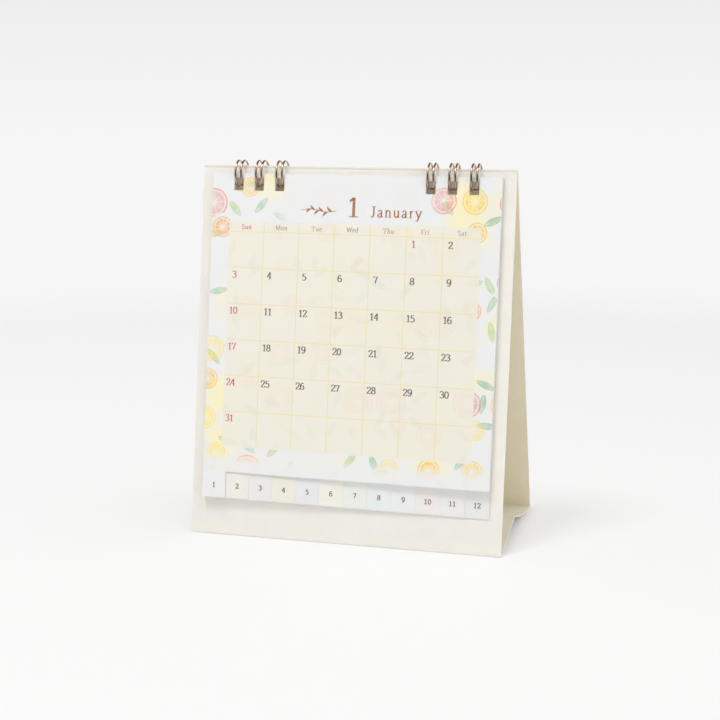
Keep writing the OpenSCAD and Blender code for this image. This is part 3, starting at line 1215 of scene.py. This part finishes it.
# Width and strokes of each character in a box one high: strokes of two points are straight, the
# others are curves.
SIX = ((0.45, 0.88), (0.31, 0.98), (0.13, 0.78), (0.07, 0.38), (0.14, 0.09), (0.28, 0.02),
       (0.43, 0.1), (0.49, 0.31), (0.42, 0.53), (0.28, 0.59), (0.13, 0.48), (0.07, 0.36))
STROKES: dict[str, tuple[float, tuple[tuple[Pair, ...], ...]]] = {
    "0": (0.56, (oval(0.28, 0.5, 0.21, 0.47),)),
    "1": (0.5,
          (((0.27, 0.98), (0.27, 0.02)), ((0.09, 0.8), (0.27, 0.96)),
           ((0.08, 0.02), (0.46, 0.02)))),
    "2": (0.56,
          (((0.08, 0.72), (0.13, 0.92), (0.28, 0.98), (0.45, 0.88), (0.46, 0.68), (0.3, 0.4),
            (0.07, 0.05)), ((0.06, 0.04), (0.5, 0.04)), ((0.5, 0.04), (0.53, 0.2)))),
    "3": (0.56,
          (((0.08, 0.82), (0.16, 0.95), (0.29, 0.98), (0.43, 0.87), (0.42, 0.66), (0.23, 0.54)),
           ((0.23, 0.54), (0.44, 0.46), (0.49, 0.26), (0.38, 0.07), (0.21, 0.02), (0.06, 0.13)))),
    "4": (0.58,
          (((0.4, 0.98), (0.04, 0.3)), ((0.04, 0.29), (0.55, 0.29)), ((0.4, 0.98), (0.4, 0.02)),
           ((0.28, 0.02), (0.52, 0.02)))),
    "5": (0.56,
          (((0.14, 0.95), (0.47, 0.95)), ((0.15, 0.95), (0.11, 0.55)),
           ((0.11, 0.55), (0.28, 0.62), (0.46, 0.48), (0.48, 0.25), (0.35, 0.06), (0.19, 0.02),
            (0.06, 0.12)))),
    "6": (0.56, (SIX,)),
    "7": (0.56,
          (((0.06, 0.95), (0.51, 0.95)), ((0.07, 0.96), (0.05, 0.78)),
           ((0.51, 0.95), (0.34, 0.55), (0.24, 0.02)))),
    "8": (0.56, (oval(0.28, 0.75, 0.17, 0.23), oval(0.28, 0.27, 0.21, 0.25))),
    "9": (0.56, (tuple((0.56 - x, 1 - y) for x, y in SIX),)),
    "A": (0.76,
          (((0.08, 0.02), (0.37, 0.98)), ((0.37, 0.98), (0.67, 0.02)), ((0.18, 0.34), (0.55, 0.34)),
           ((0.0, 0.02), (0.2, 0.02)), ((0.55, 0.02), (0.77, 0.02)))),
    "D": (0.76,
          (((0.16, 0.97), (0.16, 0.03)),
           ((0.04, 0.96), (0.36, 0.96), (0.6, 0.8), (0.68, 0.5), (0.6, 0.2), (0.36, 0.03),
            (0.04, 0.03)))),
    "F": (0.58,
          (((0.15, 0.97), (0.15, 0.02)), ((0.05, 0.96), (0.54, 0.96)), ((0.15, 0.52), (0.42, 0.52)),
           ((0.04, 0.02), (0.28, 0.02)), ((0.54, 0.96), (0.55, 0.78)))),
    "J": (0.46,
          (((0.29, 0.97), (0.29, 0.5), (0.28, 0.18), (0.18, 0.01), (0.04, 0.07)),
           ((0.14, 0.97), (0.44, 0.97)))),
    "M": (0.9,
          (((0.16, 0.98), (0.12, 0.02)), ((0.16, 0.98), (0.45, 0.06)), ((0.45, 0.06), (0.74, 0.98)),
           ((0.74, 0.98), (0.78, 0.02)), ((0.02, 0.02), (0.22, 0.02)),
           ((0.67, 0.02), (0.88, 0.02)))),
    "N": (0.8,
          (((0.15, 0.97), (0.15, 0.03)), ((0.15, 0.97), (0.64, 0.03)), ((0.64, 0.97), (0.64, 0.03)),
           ((0.03, 0.97), (0.2, 0.97)), ((0.05, 0.03), (0.26, 0.03)),
           ((0.54, 0.97), (0.76, 0.97)))),
    "O": (0.76, (oval(0.38, 0.5, 0.3, 0.48),)),
    "S": (0.56,
          (((0.47, 0.82), (0.36, 0.96), (0.2, 0.97), (0.08, 0.8), (0.17, 0.6), (0.39, 0.43),
            (0.5, 0.24), (0.4, 0.05), (0.22, 0.02), (0.06, 0.18)),)),
    "T": (0.66,
          (((0.05, 0.96), (0.61, 0.96)), ((0.33, 0.96), (0.33, 0.02)), ((0.2, 0.02), (0.46, 0.02)),
           ((0.05, 0.96), (0.04, 0.78)), ((0.61, 0.96), (0.62, 0.78)))),
    "W": (0.98,
          (((0.06, 0.97), (0.28, 0.03)), ((0.28, 0.03), (0.49, 0.9)), ((0.49, 0.9), (0.7, 0.03)),
           ((0.7, 0.03), (0.92, 0.97)), ((0.0, 0.97), (0.16, 0.97)), ((0.84, 0.97), (0.98, 0.97)))),
    "a": (0.5,
          (((0.1, 0.52), (0.2, 0.65), (0.33, 0.6), (0.36, 0.4), (0.36, 0.12), (0.46, 0.03)),
           ((0.36, 0.38), (0.17, 0.3), (0.08, 0.15), (0.16, 0.02), (0.27, 0.05), (0.36, 0.17)))),
    "b": (0.54,
          (((0.13, 1.0), (0.13, 0.03)), ((0.04, 0.99), (0.13, 0.99)),
           ((0.13, 0.5), (0.26, 0.65), (0.42, 0.56), (0.47, 0.34), (0.4, 0.1), (0.26, 0.02),
            (0.13, 0.12)))),
    "c": (0.46,
          (((0.4, 0.52), (0.28, 0.65), (0.13, 0.55), (0.07, 0.34), (0.13, 0.1), (0.27, 0.02),
            (0.42, 0.12)),)),
    "d": (0.54,
          (((0.41, 1.0), (0.41, 0.03)), ((0.32, 0.99), (0.41, 0.99)), ((0.41, 0.03), (0.51, 0.03)),
           ((0.41, 0.5), (0.28, 0.65), (0.12, 0.56), (0.07, 0.34), (0.14, 0.1), (0.28, 0.02),
            (0.41, 0.12)))),
    "e": (0.48,
          (((0.08, 0.38), (0.41, 0.38)),
           ((0.41, 0.38), (0.38, 0.57), (0.25, 0.65), (0.12, 0.56), (0.07, 0.34), (0.13, 0.1),
            (0.27, 0.02), (0.42, 0.12)))),
    "g": (0.52,
          (oval(0.24, 0.45, 0.15, 0.19),
           ((0.14, 0.29), (0.09, 0.19), (0.2, 0.11), (0.4, 0.06), (0.46, -0.09), (0.36, -0.25),
            (0.18, -0.27), (0.06, -0.15), (0.15, 0.08)), ((0.36, 0.58), (0.5, 0.64)))),
    "h": (0.58,
          (((0.14, 1.0), (0.14, 0.03)), ((0.05, 0.99), (0.14, 0.99)), ((0.05, 0.02), (0.24, 0.02)),
           ((0.34, 0.02), (0.54, 0.02)),
           ((0.14, 0.45), (0.26, 0.64), (0.4, 0.59), (0.43, 0.4), (0.43, 0.03)))),
    "i": (0.28,
          (((0.15, 0.64), (0.15, 0.03)), ((0.05, 0.63), (0.15, 0.63)), ((0.04, 0.02), (0.26, 0.02)),
           ((0.15, 0.95), (0.15, 0.82)))),
    "l": (0.28,
          (((0.15, 1.0), (0.15, 0.03)), ((0.05, 0.99), (0.15, 0.99)),
           ((0.04, 0.02), (0.26, 0.02)))),
    "m": (0.86,
          (((0.14, 0.64), (0.14, 0.03)), ((0.05, 0.63), (0.14, 0.63)), ((0.05, 0.02), (0.23, 0.02)),
           ((0.32, 0.02), (0.5, 0.02)), ((0.6, 0.02), (0.8, 0.02)),
           ((0.14, 0.45), (0.25, 0.64), (0.38, 0.59), (0.41, 0.4), (0.41, 0.03)),
           ((0.41, 0.45), (0.53, 0.64), (0.66, 0.59), (0.69, 0.4), (0.69, 0.03)))),
    "n": (0.58,
          (((0.14, 0.64), (0.14, 0.03)), ((0.05, 0.63), (0.14, 0.63)), ((0.05, 0.02), (0.24, 0.02)),
           ((0.34, 0.02), (0.54, 0.02)),
           ((0.14, 0.45), (0.26, 0.64), (0.4, 0.59), (0.43, 0.4), (0.43, 0.03)))),
    "o": (0.52, (oval(0.26, 0.33, 0.18, 0.31),)),
    "p": (0.54,
          (((0.13, 0.64), (0.13, -0.28)), ((0.04, 0.63), (0.13, 0.63)),
           ((0.03, -0.28), (0.24, -0.28)),
           ((0.13, 0.5), (0.26, 0.65), (0.42, 0.56), (0.47, 0.34), (0.4, 0.1), (0.26, 0.02),
            (0.13, 0.12)))),
    "r": (0.42,
          (((0.14, 0.64), (0.14, 0.03)), ((0.05, 0.63), (0.14, 0.63)), ((0.04, 0.02), (0.26, 0.02)),
           ((0.14, 0.42), (0.24, 0.6), (0.38, 0.61)))),
    "s": (0.42,
          (((0.35, 0.52), (0.24, 0.65), (0.1, 0.56), (0.12, 0.42), (0.3, 0.28), (0.34, 0.12),
            (0.2, 0.02), (0.06, 0.13)),)),
    "t": (0.36,
          (((0.16, 0.85), (0.16, 0.5), (0.16, 0.2), (0.21, 0.03), (0.33, 0.09)),
           ((0.04, 0.63), (0.32, 0.63)))),
    "u": (0.58,
          (((0.14, 0.64), (0.14, 0.4), (0.15, 0.16), (0.25, 0.03), (0.43, 0.2)),
           ((0.43, 0.64), (0.43, 0.03)), ((0.04, 0.63), (0.14, 0.63)), ((0.33, 0.63), (0.43, 0.63)),
           ((0.43, 0.03), (0.54, 0.03)))),
    "v": (0.52,
          (((0.06, 0.64), (0.26, 0.02)), ((0.26, 0.02), (0.46, 0.64)), ((0.0, 0.63), (0.16, 0.63)),
           ((0.38, 0.63), (0.52, 0.63)))),
    "y": (0.52,
          (((0.06, 0.64), (0.27, 0.04)), ((0.46, 0.64), (0.27, 0.04), (0.16, -0.24), (0.05, -0.24)),
           ((0.0, 0.63), (0.16, 0.63)), ((0.38, 0.63), (0.52, 0.63)))),
}


@dataclass
class InkLayer:
    """Print of one sheet, drawn as thin closed ribbons on the paper."""

    place: Callable[[float, float, float], Spot]
    base: float
    widen: float = 1.22
    proud: float = 0.022
    sunk: float = 0.006
    # A sprig: its stem's width, wave and pieces.
    stem_w: float = 0.22
    stem_wave: float = 0.5
    stem_parts: int = 24
    # Its leaves: how many, pieces of stem between them, tip from the stem, loss in size from one to
    # the next, bow, least and added width, swell towards the stem, and pieces.
    leaves: int = 6
    leaf_every: int = 3
    leaf_tip: Pair = (2.1, 2.0)
    leaf_loss: float = 0.05
    leaf_bow: float = 0.25
    leaf_w: Pair = (0.08, 0.85)
    leaf_swell: float = 0.8
    leaf_parts: int = 8
    spots: list[Spot] = field(default_factory=list)
    faces: list[list[int]] = field(default_factory=list)
    tones: list[int] = field(default_factory=list)

    def ribbon(self, line: np.ndarray, widths: np.ndarray, tone: Tone) -> None:
        """Lays a ribbon of ink along a line.

        Args:
            line: points as x and s on the page.
            widths: the ribbon's width at each point.
            tone: its ink.
        """
        way = np.gradient(line, axis=0)
        way /= np.maximum(np.linalg.norm(way, axis=1), NO_LENGTH)[:, None]
        off = np.stack((-way[:, 1], way[:, 0]), axis=1) * widths[:, None] / 2
        start = len(self.spots)
        end = start + 4 * (len(line) - 1)
        top, foot = self.base + self.proud, self.base - self.sunk
        for a, b in zip(line + off, line - off):
            self.spots += [self.place(*a, top), self.place(*b, top),
                           self.place(*b, foot), self.place(*a, foot)]
        made = []
        for i in range(start, end, 4):
            made += [[i + j, i + 4 + j, i + 4 + (j + 1) % 4, i + (j + 1) % 4] for j in range(4)]
        made += [[start + j for j in (0, 1, 2, 3)], [end + j for j in (3, 2, 1, 0)]]
        self.faces += made
        self.tones += [tone.value] * len(made)

    def width(self, text: str, height: float, space: float = 0.0) -> float:
        """Gives the width of a text of that height, with extra space between its characters."""
        return height * (self.widen * sum(STROKES[c][0] for c in text) + space * (len(text) - 1))

    def words(self, text: str, left: float, top: float, height: float, tone: Tone, nib: Nib,
              space: float = 0.0) -> None:
        """Writes characters from the left.

        Args:
            text: the characters.
            left: left end of the text across the page.
            top: top of the capitals below the fold.
            height: height of the capitals.
            tone: its ink.
            nib: the pen.
            space: extra space between characters, as a share of the height.
        """
        for character in text:
            wide, strokes = STROKES[character]
            for stroke in strokes:
                line = eased(stroke) if len(stroke) > 2 else eased(stroke, STRAIGHT_PARTS)
                page = np.stack((left + height * self.widen * line[:, 0],
                                 top + height * (1 - line[:, 1])), axis=1)
                self.ribbon(page, nib.widths(line) * height, tone)
            left += height * (self.widen * wide + space)

    def centred(self, text: str, x: float, top: float, height: float, tone: Tone, nib: Nib,
                space: float = 0.0) -> None:
        """Writes characters centred on x, and otherwise as words does."""
        self.words(text, x - self.width(text, height, space) / 2, top, height, tone, nib, space)

    def sprig(self, x: float, s: float, length: float, way: int) -> None:
        """Stamps a small leafy sprig in foil.

        Args:
            x: its inner end across the page.
            s: its stem below the fold.
            length: length of the stem.
            way: 1 to grow to the right, -1 to the left.
        """
        stem = np.array([(x + way * length * t, s + self.stem_wave * math.sin(2 * math.pi * t))
                         for t in steps(0, 1, self.stem_parts)])
        self.ribbon(stem, np.full(len(stem), self.stem_w), Tone.FOIL)
        share = np.array(steps(0, 1, self.leaf_parts))
        bow = self.leaf_bow * np.sin(math.pi * share)
        widths = self.leaf_w[0] + self.leaf_w[1] * np.sin(math.pi * share ** self.leaf_swell)
        for i in range(self.leaves):
            at = stem[self.leaf_every * (i + 1)]
            side = 1 if i % 2 else -1
            tip = np.array((way, side)) * self.leaf_tip * (1.0 - self.leaf_loss * i)
            leaf = at + np.outer(share, tip) + np.outer(bow, (way, -side))
            self.ribbon(leaf, widths, Tone.FOIL)


@dataclass
class SheetPad:
    """Twelve month sheets on the wires, each with its stepped index tab and its print."""

    sides: Sides
    paper: bpy.types.Material
    inks: Sequence[bpy.types.Material]
    print_plan: PrintedPaper
    sheets: int = 12
    sheet_w: float = 116.0
    sheet_t: float = 0.15
    sheet_gap: float = 0.05
    pad_clear: float = 0.2
    sheet_top: float = 3.3
    hole: Pair = (5.15, 10.14)
    # Below the holes the pad hangs a little lower on the right, and each sheet lower than the last.
    slope: float = 0.0045
    sag: float = 0.04
    settle: float = 20.0
    # The first sheet stands off the others at its foot.
    lift: float = 0.35
    bend_margin: float = 0.5
    bend_reach: float = 1.1
    tab_end: float = 132.3
    # Grid of a sheet: cells across, on the bend, and along the page below its start.
    across: int = 12
    bend_steps: int = 14
    page_start: float = 16.0
    page_steps: int = 10
    # The print: heights of its characters, their places, pens and extra spaces.
    first_weekday: Weekday = Weekday.FRIDAY
    holidays: tuple[tuple[Month, int], ...] = ((Month.JANUARY, 1),)
    date_h: float = 2.7
    date_in: float = 2.85
    date_drop: float = 1.35
    date_nib: Nib = Nib(0.17, 0.065)
    weekday_h: float = 1.9
    weekday_s: float = 23.4
    weekday_nib: Nib = Nib(0.15, 0.06)
    weekday_space: float = 0.06
    numeral_h: float = 7.6
    numeral_s: float = 11.9
    numeral_nib: Nib = Nib(0.15, 0.05)
    tab_number_h: float = 1.95
    tab_number_s: float = 126.3
    tab_number_nib: Nib = Nib(0.19, 0.13)
    tab_number_space: float = 0.13
    title_in: float = 6.8
    title_s: float = 15.15
    title_h: float = 4.15
    title_nib: Nib = Nib(0.14, 0.05)
    title_space: float = 0.1
    sprig_len: float = 14.0

    def sheet_n(self, k: int) -> float:
        """Gives the distance of sheet k's back from the front panel."""
        return self.pad_clear + (self.sheets - k) * (self.sheet_t + self.sheet_gap)

    def bend_s(self, k: int) -> float:
        """Gives the place of sheet k's bend line below the fold."""
        return self.hole[1] + self.bend_margin + (k - 1) * (self.sheet_t + self.sheet_gap)

    def _spot(self, k: int, x: float, s: float, n: float) -> Spot:
        """Puts a point of a sheet in the model's frame.

        Args:
            k: the sheet's number from the front.
            x: the point's place across the sheet.
            s: its distance below the top fold.
            n: its distance before the front panel.

        Returns:
            The point.
        """
        drop = self.slope * (x + self.sheet_w / 2) + self.sag * (k - 1)
        share = min(max((s - self.hole[1]) / self.settle, 0.0), 1.0)
        down = max(s - self.hole[1], 0.0) / (self.tab_end - self.hole[1])
        rise = self.lift * down ** 2 if k == 1 else 0.0
        y, z = self.sides.side(n + rise, s + share * drop)
        return (x, float(y), float(z))

    def _hang(self, piece: bpy.types.Object, k: int) -> None:
        """Bakes a piece's place into its mesh; the ends of the sheet's bend are worked out, but
        nothing bends the piece.

        Args:
            piece: the sheet or its ink.
            k: the sheet's number from the front.
        """
        middle = self.sheet_n(k) + self.sheet_t / 2
        ends = [self._spot(k, 0.0, self.bend_s(k) + side * self.bend_reach, middle)
                for side in (-1, 1)]
        start, end = (tuple(c * MM for c in p) for p in ends)
        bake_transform(piece)
        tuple(start)
        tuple(end)

    def sheet(self, k: int) -> bpy.types.Object:
        """Builds one sheet with its punched holes and index tab.

        Args:
            k: the sheet's number from the front.

        Returns:
            The dressed piece.
        """
        g, half = self.sides, self.sheet_w / 2
        tab_edge = -half + self.sheet_w * k / self.sheets
        back = self.sheet_n(k)
        page_end = self.print_plan.page_end
        bend = self.bend_s(k)
        xs = lines(steps(-half, half, self.across), g.hole_edges())
        us = lines([self.sheet_top, *self.hole, self.tab_end],
                   steps(bend - self.bend_reach, bend + self.bend_reach, self.bend_steps),
                   steps(self.page_start, page_end, self.page_steps))

        def kept(x: float, s: float) -> bool:
            """Tells whether the paper is neither punched nor trimmed at a place."""
            punched = g.in_hole(x) and self.hole[0] < s < self.hole[1]
            return not punched and (s < page_end or x < tab_edge)

        def place(x: float, s: float, side: int) -> Spot:
            """Puts a point of the sheet on its printed or blank face."""
            return self._spot(k, x, s, back if side else back + self.sheet_t)

        piece = shell(f"sheet_{k:02d}", xs, us, kept, place, (self.paper,), k)
        self._hang(piece, k)
        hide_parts(f"sheet_{k:02d}_binding", f"sheet_{k:02d}_leaf")
        return piece

    def ink(self, k: int) -> bpy.types.Object:
        """Prints the days, the month's number and name, a sprig and the tab's number of a sheet.

        Args:
            k: the sheet's number from the front.

        Returns:
            The dressed piece.
        """
        plan = self.print_plan
        layer = InkLayer(partial(self._spot, k), self.sheet_n(k) + self.sheet_t)
        left = -plan.panel_half
        days, months = list(Weekday), list(Month)
        month = months[k - 1]
        for column, day in enumerate(days):
            tone = Tone.ROSE if day is Weekday.SUNDAY else Tone.TAN
            layer.centred(day.value, left + (column + 0.5) * plan.column, self.weekday_s,
                          self.weekday_h, tone, self.weekday_nib, self.weekday_space)
        passed = sum(m.value[1] for m in months[:k - 1])
        first = (days.index(self.first_weekday) + passed) % len(days)
        for day in range(1, month.value[1] + 1):
            row, column = divmod(first + day - 1, len(days))
            rest_day = column == 0 or (month, day) in self.holidays
            layer.centred(str(day), left + column * plan.column + self.date_in,
                          plan.rows_top + row * plan.row + self.date_drop, self.date_h,
                          Tone.ROSE if rest_day else Tone.BROWN, self.date_nib)
        layer.centred(str(k), 0.0, self.numeral_s, self.numeral_h, Tone.FOIL, self.numeral_nib)
        layer.words(month.value[0], self.title_in, self.title_s, self.title_h, Tone.FOIL,
                    self.title_nib, self.title_space)
        layer.sprig(-self.title_in, self.title_s + self.title_h / 2, self.sprig_len, -1)
        tab_x = -self.sheet_w / 2 + self.sheet_w * (k - 0.5) / self.sheets
        layer.centred(str(k), tab_x, self.tab_number_s, self.tab_number_h, Tone.UMBER,
                      self.tab_number_nib, self.tab_number_space)
        piece = new_piece(f"sheet_{k:02d}_ink", layer.spots, layer.faces)
        for material in self.inks:
            piece.data.materials.append(material)
        piece.data.polygons.foreach_set("material_index", layer.tones)
        self._hang(piece, k)
        return piece


@dataclass
class Studio:
    """Plain pale floor, soft light from above, and the camera at the photograph's angle."""

    target: Spot = (7.417, -35.376, 73.96)
    azimuth: float = math.radians(15.482)
    elevation: float = math.radians(10.579)
    distance: float = 574.2
    lens: float = 75.2
    sensor: float = 36.0
    clip: Pair = (0.01, 50.0)
    floor_radius: float = 4.0
    floor_sides: int = 64
    floor_drop: float = 0.02
    fade: Pair = (0.2, 0.8)
    floor_colour: str = "#F8F8F7"
    floor_rough: float = 0.85
    near_colour: str = "#F7F7F7"
    background: str = "#F6F6F6"
    sky: str = "#EEEEEE"
    # Rise of the line of sight, per unit of length, from the background's tone to the sky's.
    haze: Pair = (-0.04, 0.05)
    # The floor's own glow, outside the stand's footprint: half of its width and of its depth, and
    # the soft rim of the glow in shares of them.
    floor_glow: float = 0.6
    footprint: Pair = (63.0, 35.6)
    rim: Pair = (0.94, 1.06)
    # Strength of the light from the left and from the right of the set.
    ambient: Pair = (0.18, 1.14)
    key_power: float = 7.5
    key_place: Spot = (-0.25, -0.5, 1.24)
    key_aim: Spot = (0.0, 0.0, 0.07)
    key_size: float = 0.36
    # Painted reflections: dark cloths lie and stand round the front, with a gap before the page:
    # their height off the floor, where they start, where they rise and how high, each one's
    # bearings from the front, and the flat pieces of each. A glowing white card stands above them,
    # and a glowing grey sheet hangs over the set; the camera does not see them and they light
    # nothing.
    felt: str = "#15120F"
    felt_rough: float = 0.95
    flag_clear: float = 0.002
    flag_start: float = 0.35
    flag_reach: float = 1.1
    flag_height: float = 0.66
    flag_spans: tuple[Pair, ...] = ((-110.0, -42.0), (-4.0, 110.0))
    flag_steps: int = 12
    card_span: Pair = (-110.0, 110.0)
    card_height: float = 1.9
    card_level: float = 1.12
    sheet_half: float = 3.0
    sheet_span: Pair = (-0.75, 3.0)
    sheet_height: float = 1.5
    sheet_level: float = 0.2

    def camera(self) -> bpy.types.Object:
        """Makes the camera.

        Returns:
            The camera, set as the scene's own.
        """
        data = bpy.data.cameras.new("camera")
        data.lens, data.sensor_width, data.sensor_fit = self.lens, self.sensor, "HORIZONTAL"
        data.clip_start, data.clip_end = self.clip
        made = bpy.data.objects.new("camera", data)
        bpy.context.scene.collection.objects.link(made)
        a, e = self.azimuth, self.elevation
        ahead = Vector((-math.sin(a) * math.cos(e), math.cos(a) * math.cos(e), -math.sin(e)))
        made.location = (Vector(self.target) - ahead * self.distance) * MM
        made.rotation_mode = "QUATERNION"
        made.rotation_quaternion = ahead.to_track_quat("-Z", "Y")
        bpy.context.scene.camera = made
        return made

    def _seen(self, tree: bpy.types.NodeTree) -> bpy.types.Node:
        """Marks rays from the camera, and rays that metal or glass mirrors or lets through.

        Args:
            tree: the node tree.

        Returns:
            A node that is one for such rays.
        """
        path = add(tree, "LightPath")
        seen = path.outputs["Is Camera Ray"]
        for other in ("Is Glossy Ray", "Is Transmission Ray"):
            seen = add(tree, "Math", (seen, path.outputs[other]), operation="MAXIMUM")
        return seen

    def world(self) -> None:
        """Lights the scene evenly, with the pale background behind it."""
        world = bpy.data.worlds.new("studio")
        world.use_nodes = True
        tree = world.node_tree
        tree.nodes.clear()
        way = add(tree, "SeparateXYZ", (add(tree, "TexCoord").outputs["Generated"],))
        level = add(tree, "MapRange", (way.outputs[0], -1.0, 1.0, self.ambient[0], self.ambient[1]))
        soft = add(tree, "Background", {"Color": grey(1.0), "Strength": level})
        rise = add(tree, "MapRange", (way.outputs[2], self.haze[0], self.haze[1]))
        tone = add(tree, "Mix", {0: rise, 6: linear(self.background), 7: linear(self.sky)},
                   data_type="RGBA").outputs[2]
        pale = add(tree, "Background", {"Color": tone, "Strength": 1.0})
        both = add(tree, "MixShader", (self._seen(tree), soft, pale))
        add(tree, "OutputWorld", (both,))
        bpy.context.scene.world = world

    def floor(self) -> bpy.types.Object:
        """Makes the floor, which keeps the object's shadow and fades to the background further out.

        Returns:
            The floor.
        """
        radius = self.floor_radius / MM
        spots = [(radius * math.cos(t), radius * math.sin(t), -self.floor_drop)
                 for t in steps(0, 2 * math.pi, self.floor_sides)[:-1]]
        made = new_piece("floor", spots, [list(range(self.floor_sides))])
        material, tree = new_material("seamless_floor")
        place = add(tree, "NewGeometry").outputs["Position"]
        reach = add(tree, "VectorMath", (place,), operation="LENGTH").outputs["Value"]
        far = add(tree, "MapRange", (reach, self.fade[0], self.fade[1]),
                  interpolation_type="SMOOTHSTEP")
        out = add(tree, "VectorMath", (place,), operation="ABSOLUTE")
        half = (self.footprint[0] * MM, self.footprint[1] * MM, 1.0)
        out = add(tree, "VectorMath", (out, half), operation="DIVIDE")
        part = add(tree, "SeparateXYZ", (out,))
        rim = add(tree, "Math", (part.outputs[0], part.outputs[1]), operation="MAXIMUM")
        own = add(tree, "MapRange", (rim, self.rim[0], self.rim[1], 0.0, self.floor_glow))
        glow = add(tree, "Math", (far, own), operation="MAXIMUM")
        share = add(tree, "Math", (glow, self._seen(tree)), operation="MULTIPLY")
        matt = add(tree, "BsdfPrincipled",
                   {"Base Color": linear(self.floor_colour), "Roughness": self.floor_rough})
        tone = add(tree, "Mix", {0: far, 6: linear(self.near_colour), 7: linear(self.background)},
                   data_type="RGBA").outputs[2]
        pale = add(tree, "Emission", {"Color": tone, "Strength": 1.0})
        both = add(tree, "MixShader", (share, matt, pale))
        add(tree, "OutputMaterial", (both,))
        made.data.materials.append(material)
        return made

    def flag(self) -> bpy.types.Object:
        """Puts dark cloths, a glowing card and a glowing sheet round the set as painted
        reflections, which show only in what the metal mirrors.

        Returns:
            The cloths, the card and the sheet.
        """
        top = (self.flag_reach, self.flag_height)
        cloth = ((self.flag_start, self.flag_clear), (self.flag_reach, self.flag_clear), top)
        strips = [(span, cloth, 0) for span in self.flag_spans]
        strips.append((self.card_span, (top, (self.flag_reach, self.card_height)), 1))
        spots: list[Spot] = []
        faces: list[list[int]] = []
        slots: list[int] = []
        corners = ((0, 0), (1, 0), (1, 1), (0, 1))
        for (start, end), rows, slot in strips:
            bearings = [math.radians(b) for b in steps(start, end, self.flag_steps)]
            wide = len(rows)
            faces += [[len(spots) + wide * (i + di) + j + dj for di, dj in corners]
                      for i in range(len(bearings) - 1) for j in range(wide - 1)]
            slots += [slot] * (len(faces) - len(slots))
            spots += [(r * math.sin(b), -r * math.cos(b), z) for b in bearings for r, z in rows]
        faces.append([len(spots) + j for j in range(4)])
        slots.append(2)
        near, far = self.sheet_span
        side = self.sheet_half
        spots += [(x, y, self.sheet_height)
                  for x, y in ((-side, near), (side, near), (side, far), (-side, far))]
        made = new_piece("dark_flag", [tuple(c / MM for c in spot) for spot in spots], faces)
        felt, tree = new_material("black_felt")
        matt = add(tree, "BsdfPrincipled",
                   {"Base Color": linear(self.felt), "Roughness": self.felt_rough})
        add(tree, "OutputMaterial", (matt,))
        made.data.materials.append(felt)
        # The card and the sheet glow though they are no lamps: painted reflections for the metal.
        for name, level in (("glowing_white_card", self.card_level), ("glowing_grey_sheet", self.sheet_level)):
            board, tree = new_material(name)
            lit = add(tree, "Emission", {"Color": grey(1.0), "Strength": level})
            add(tree, "OutputMaterial", (lit,))
            made.data.materials.append(board)
        made.data.polygons.foreach_set("material_index", slots)
        made.visible_camera = made.visible_diffuse = made.visible_shadow = False
        return made

    def key(self) -> bpy.types.Object:
        """Makes the soft lamp above the left front.

        Returns:
            The lamp.
        """
        data = bpy.data.lights.new("key", "AREA")
        data.energy, data.size = self.key_power, self.key_size
        made = bpy.data.objects.new("key", data)
        bpy.context.scene.collection.objects.link(made)
        made.location = self.key_place
        aim = Vector(self.key_aim) - made.location
        made.rotation_mode = "QUATERNION"
        made.rotation_quaternion = aim.to_track_quat("-Z", "Y")
        return made


def main() -> None:
    """Builds the calendar and its studio, and reports each piece."""
    logging.basicConfig(level=logging.INFO, format="%(name)s: %(message)s")
    bpy.context.scene.view_settings.view_transform = "Standard"
    studio = Studio()
    studio.camera()
    studio.world()
    studio.floor()
    studio.key()
    studio.flag()
    sides = Sides()
    # Painted light: a lighter, warmer copy of the board for the faces inside the stand, which
    # brightens the shade there.
    reverse = IvoryBoard(name="ivory_board_reverse_lightened", colour="#F8F0DE", cloud="#F5ECD8",
                         fleck="#E6DAC2")
    stand = CardStand(sides, IvoryBoard().build(), reverse.build())
    pieces = [stand.easel(), stand.base(), stand.rear_lip(), stand.glue_tab()]
    wire = TwinLoopWire(sides, LacqueredWire().build())
    pieces.append(wire.build("binding_wire_left", "wire_left", -sides.run_x))
    pieces.append(wire.build("binding_wire_right", "wire_right", sides.run_x))
    inks = [PrintInk("brown_offset_ink", "#655044", "#796457").build(),
            PrintInk("rose_offset_ink", "#D0566B", "#DA7686").build(),
            PrintInk("tan_offset_ink", "#B78F84", "#C6A79D").build(),
            PrintInk("copper_stamped_foil", "#D09A78", "#A8704F", metallic=1.0,
                     roughness=0.3).build(),
            PrintInk("umber_offset_ink", "#85543F", "#97684F").build()]
    plan = PrintedPaper()
    pad = SheetPad(sides, plan.build(), inks, plan)
    for k in range(1, pad.sheets + 1):
        pieces += [pad.sheet(k), pad.ink(k)]
    for piece in pieces:
        LOG.info("%s: %d faces", piece.name, len(piece.data.polygons))


if __name__ == "__main__":
    main()
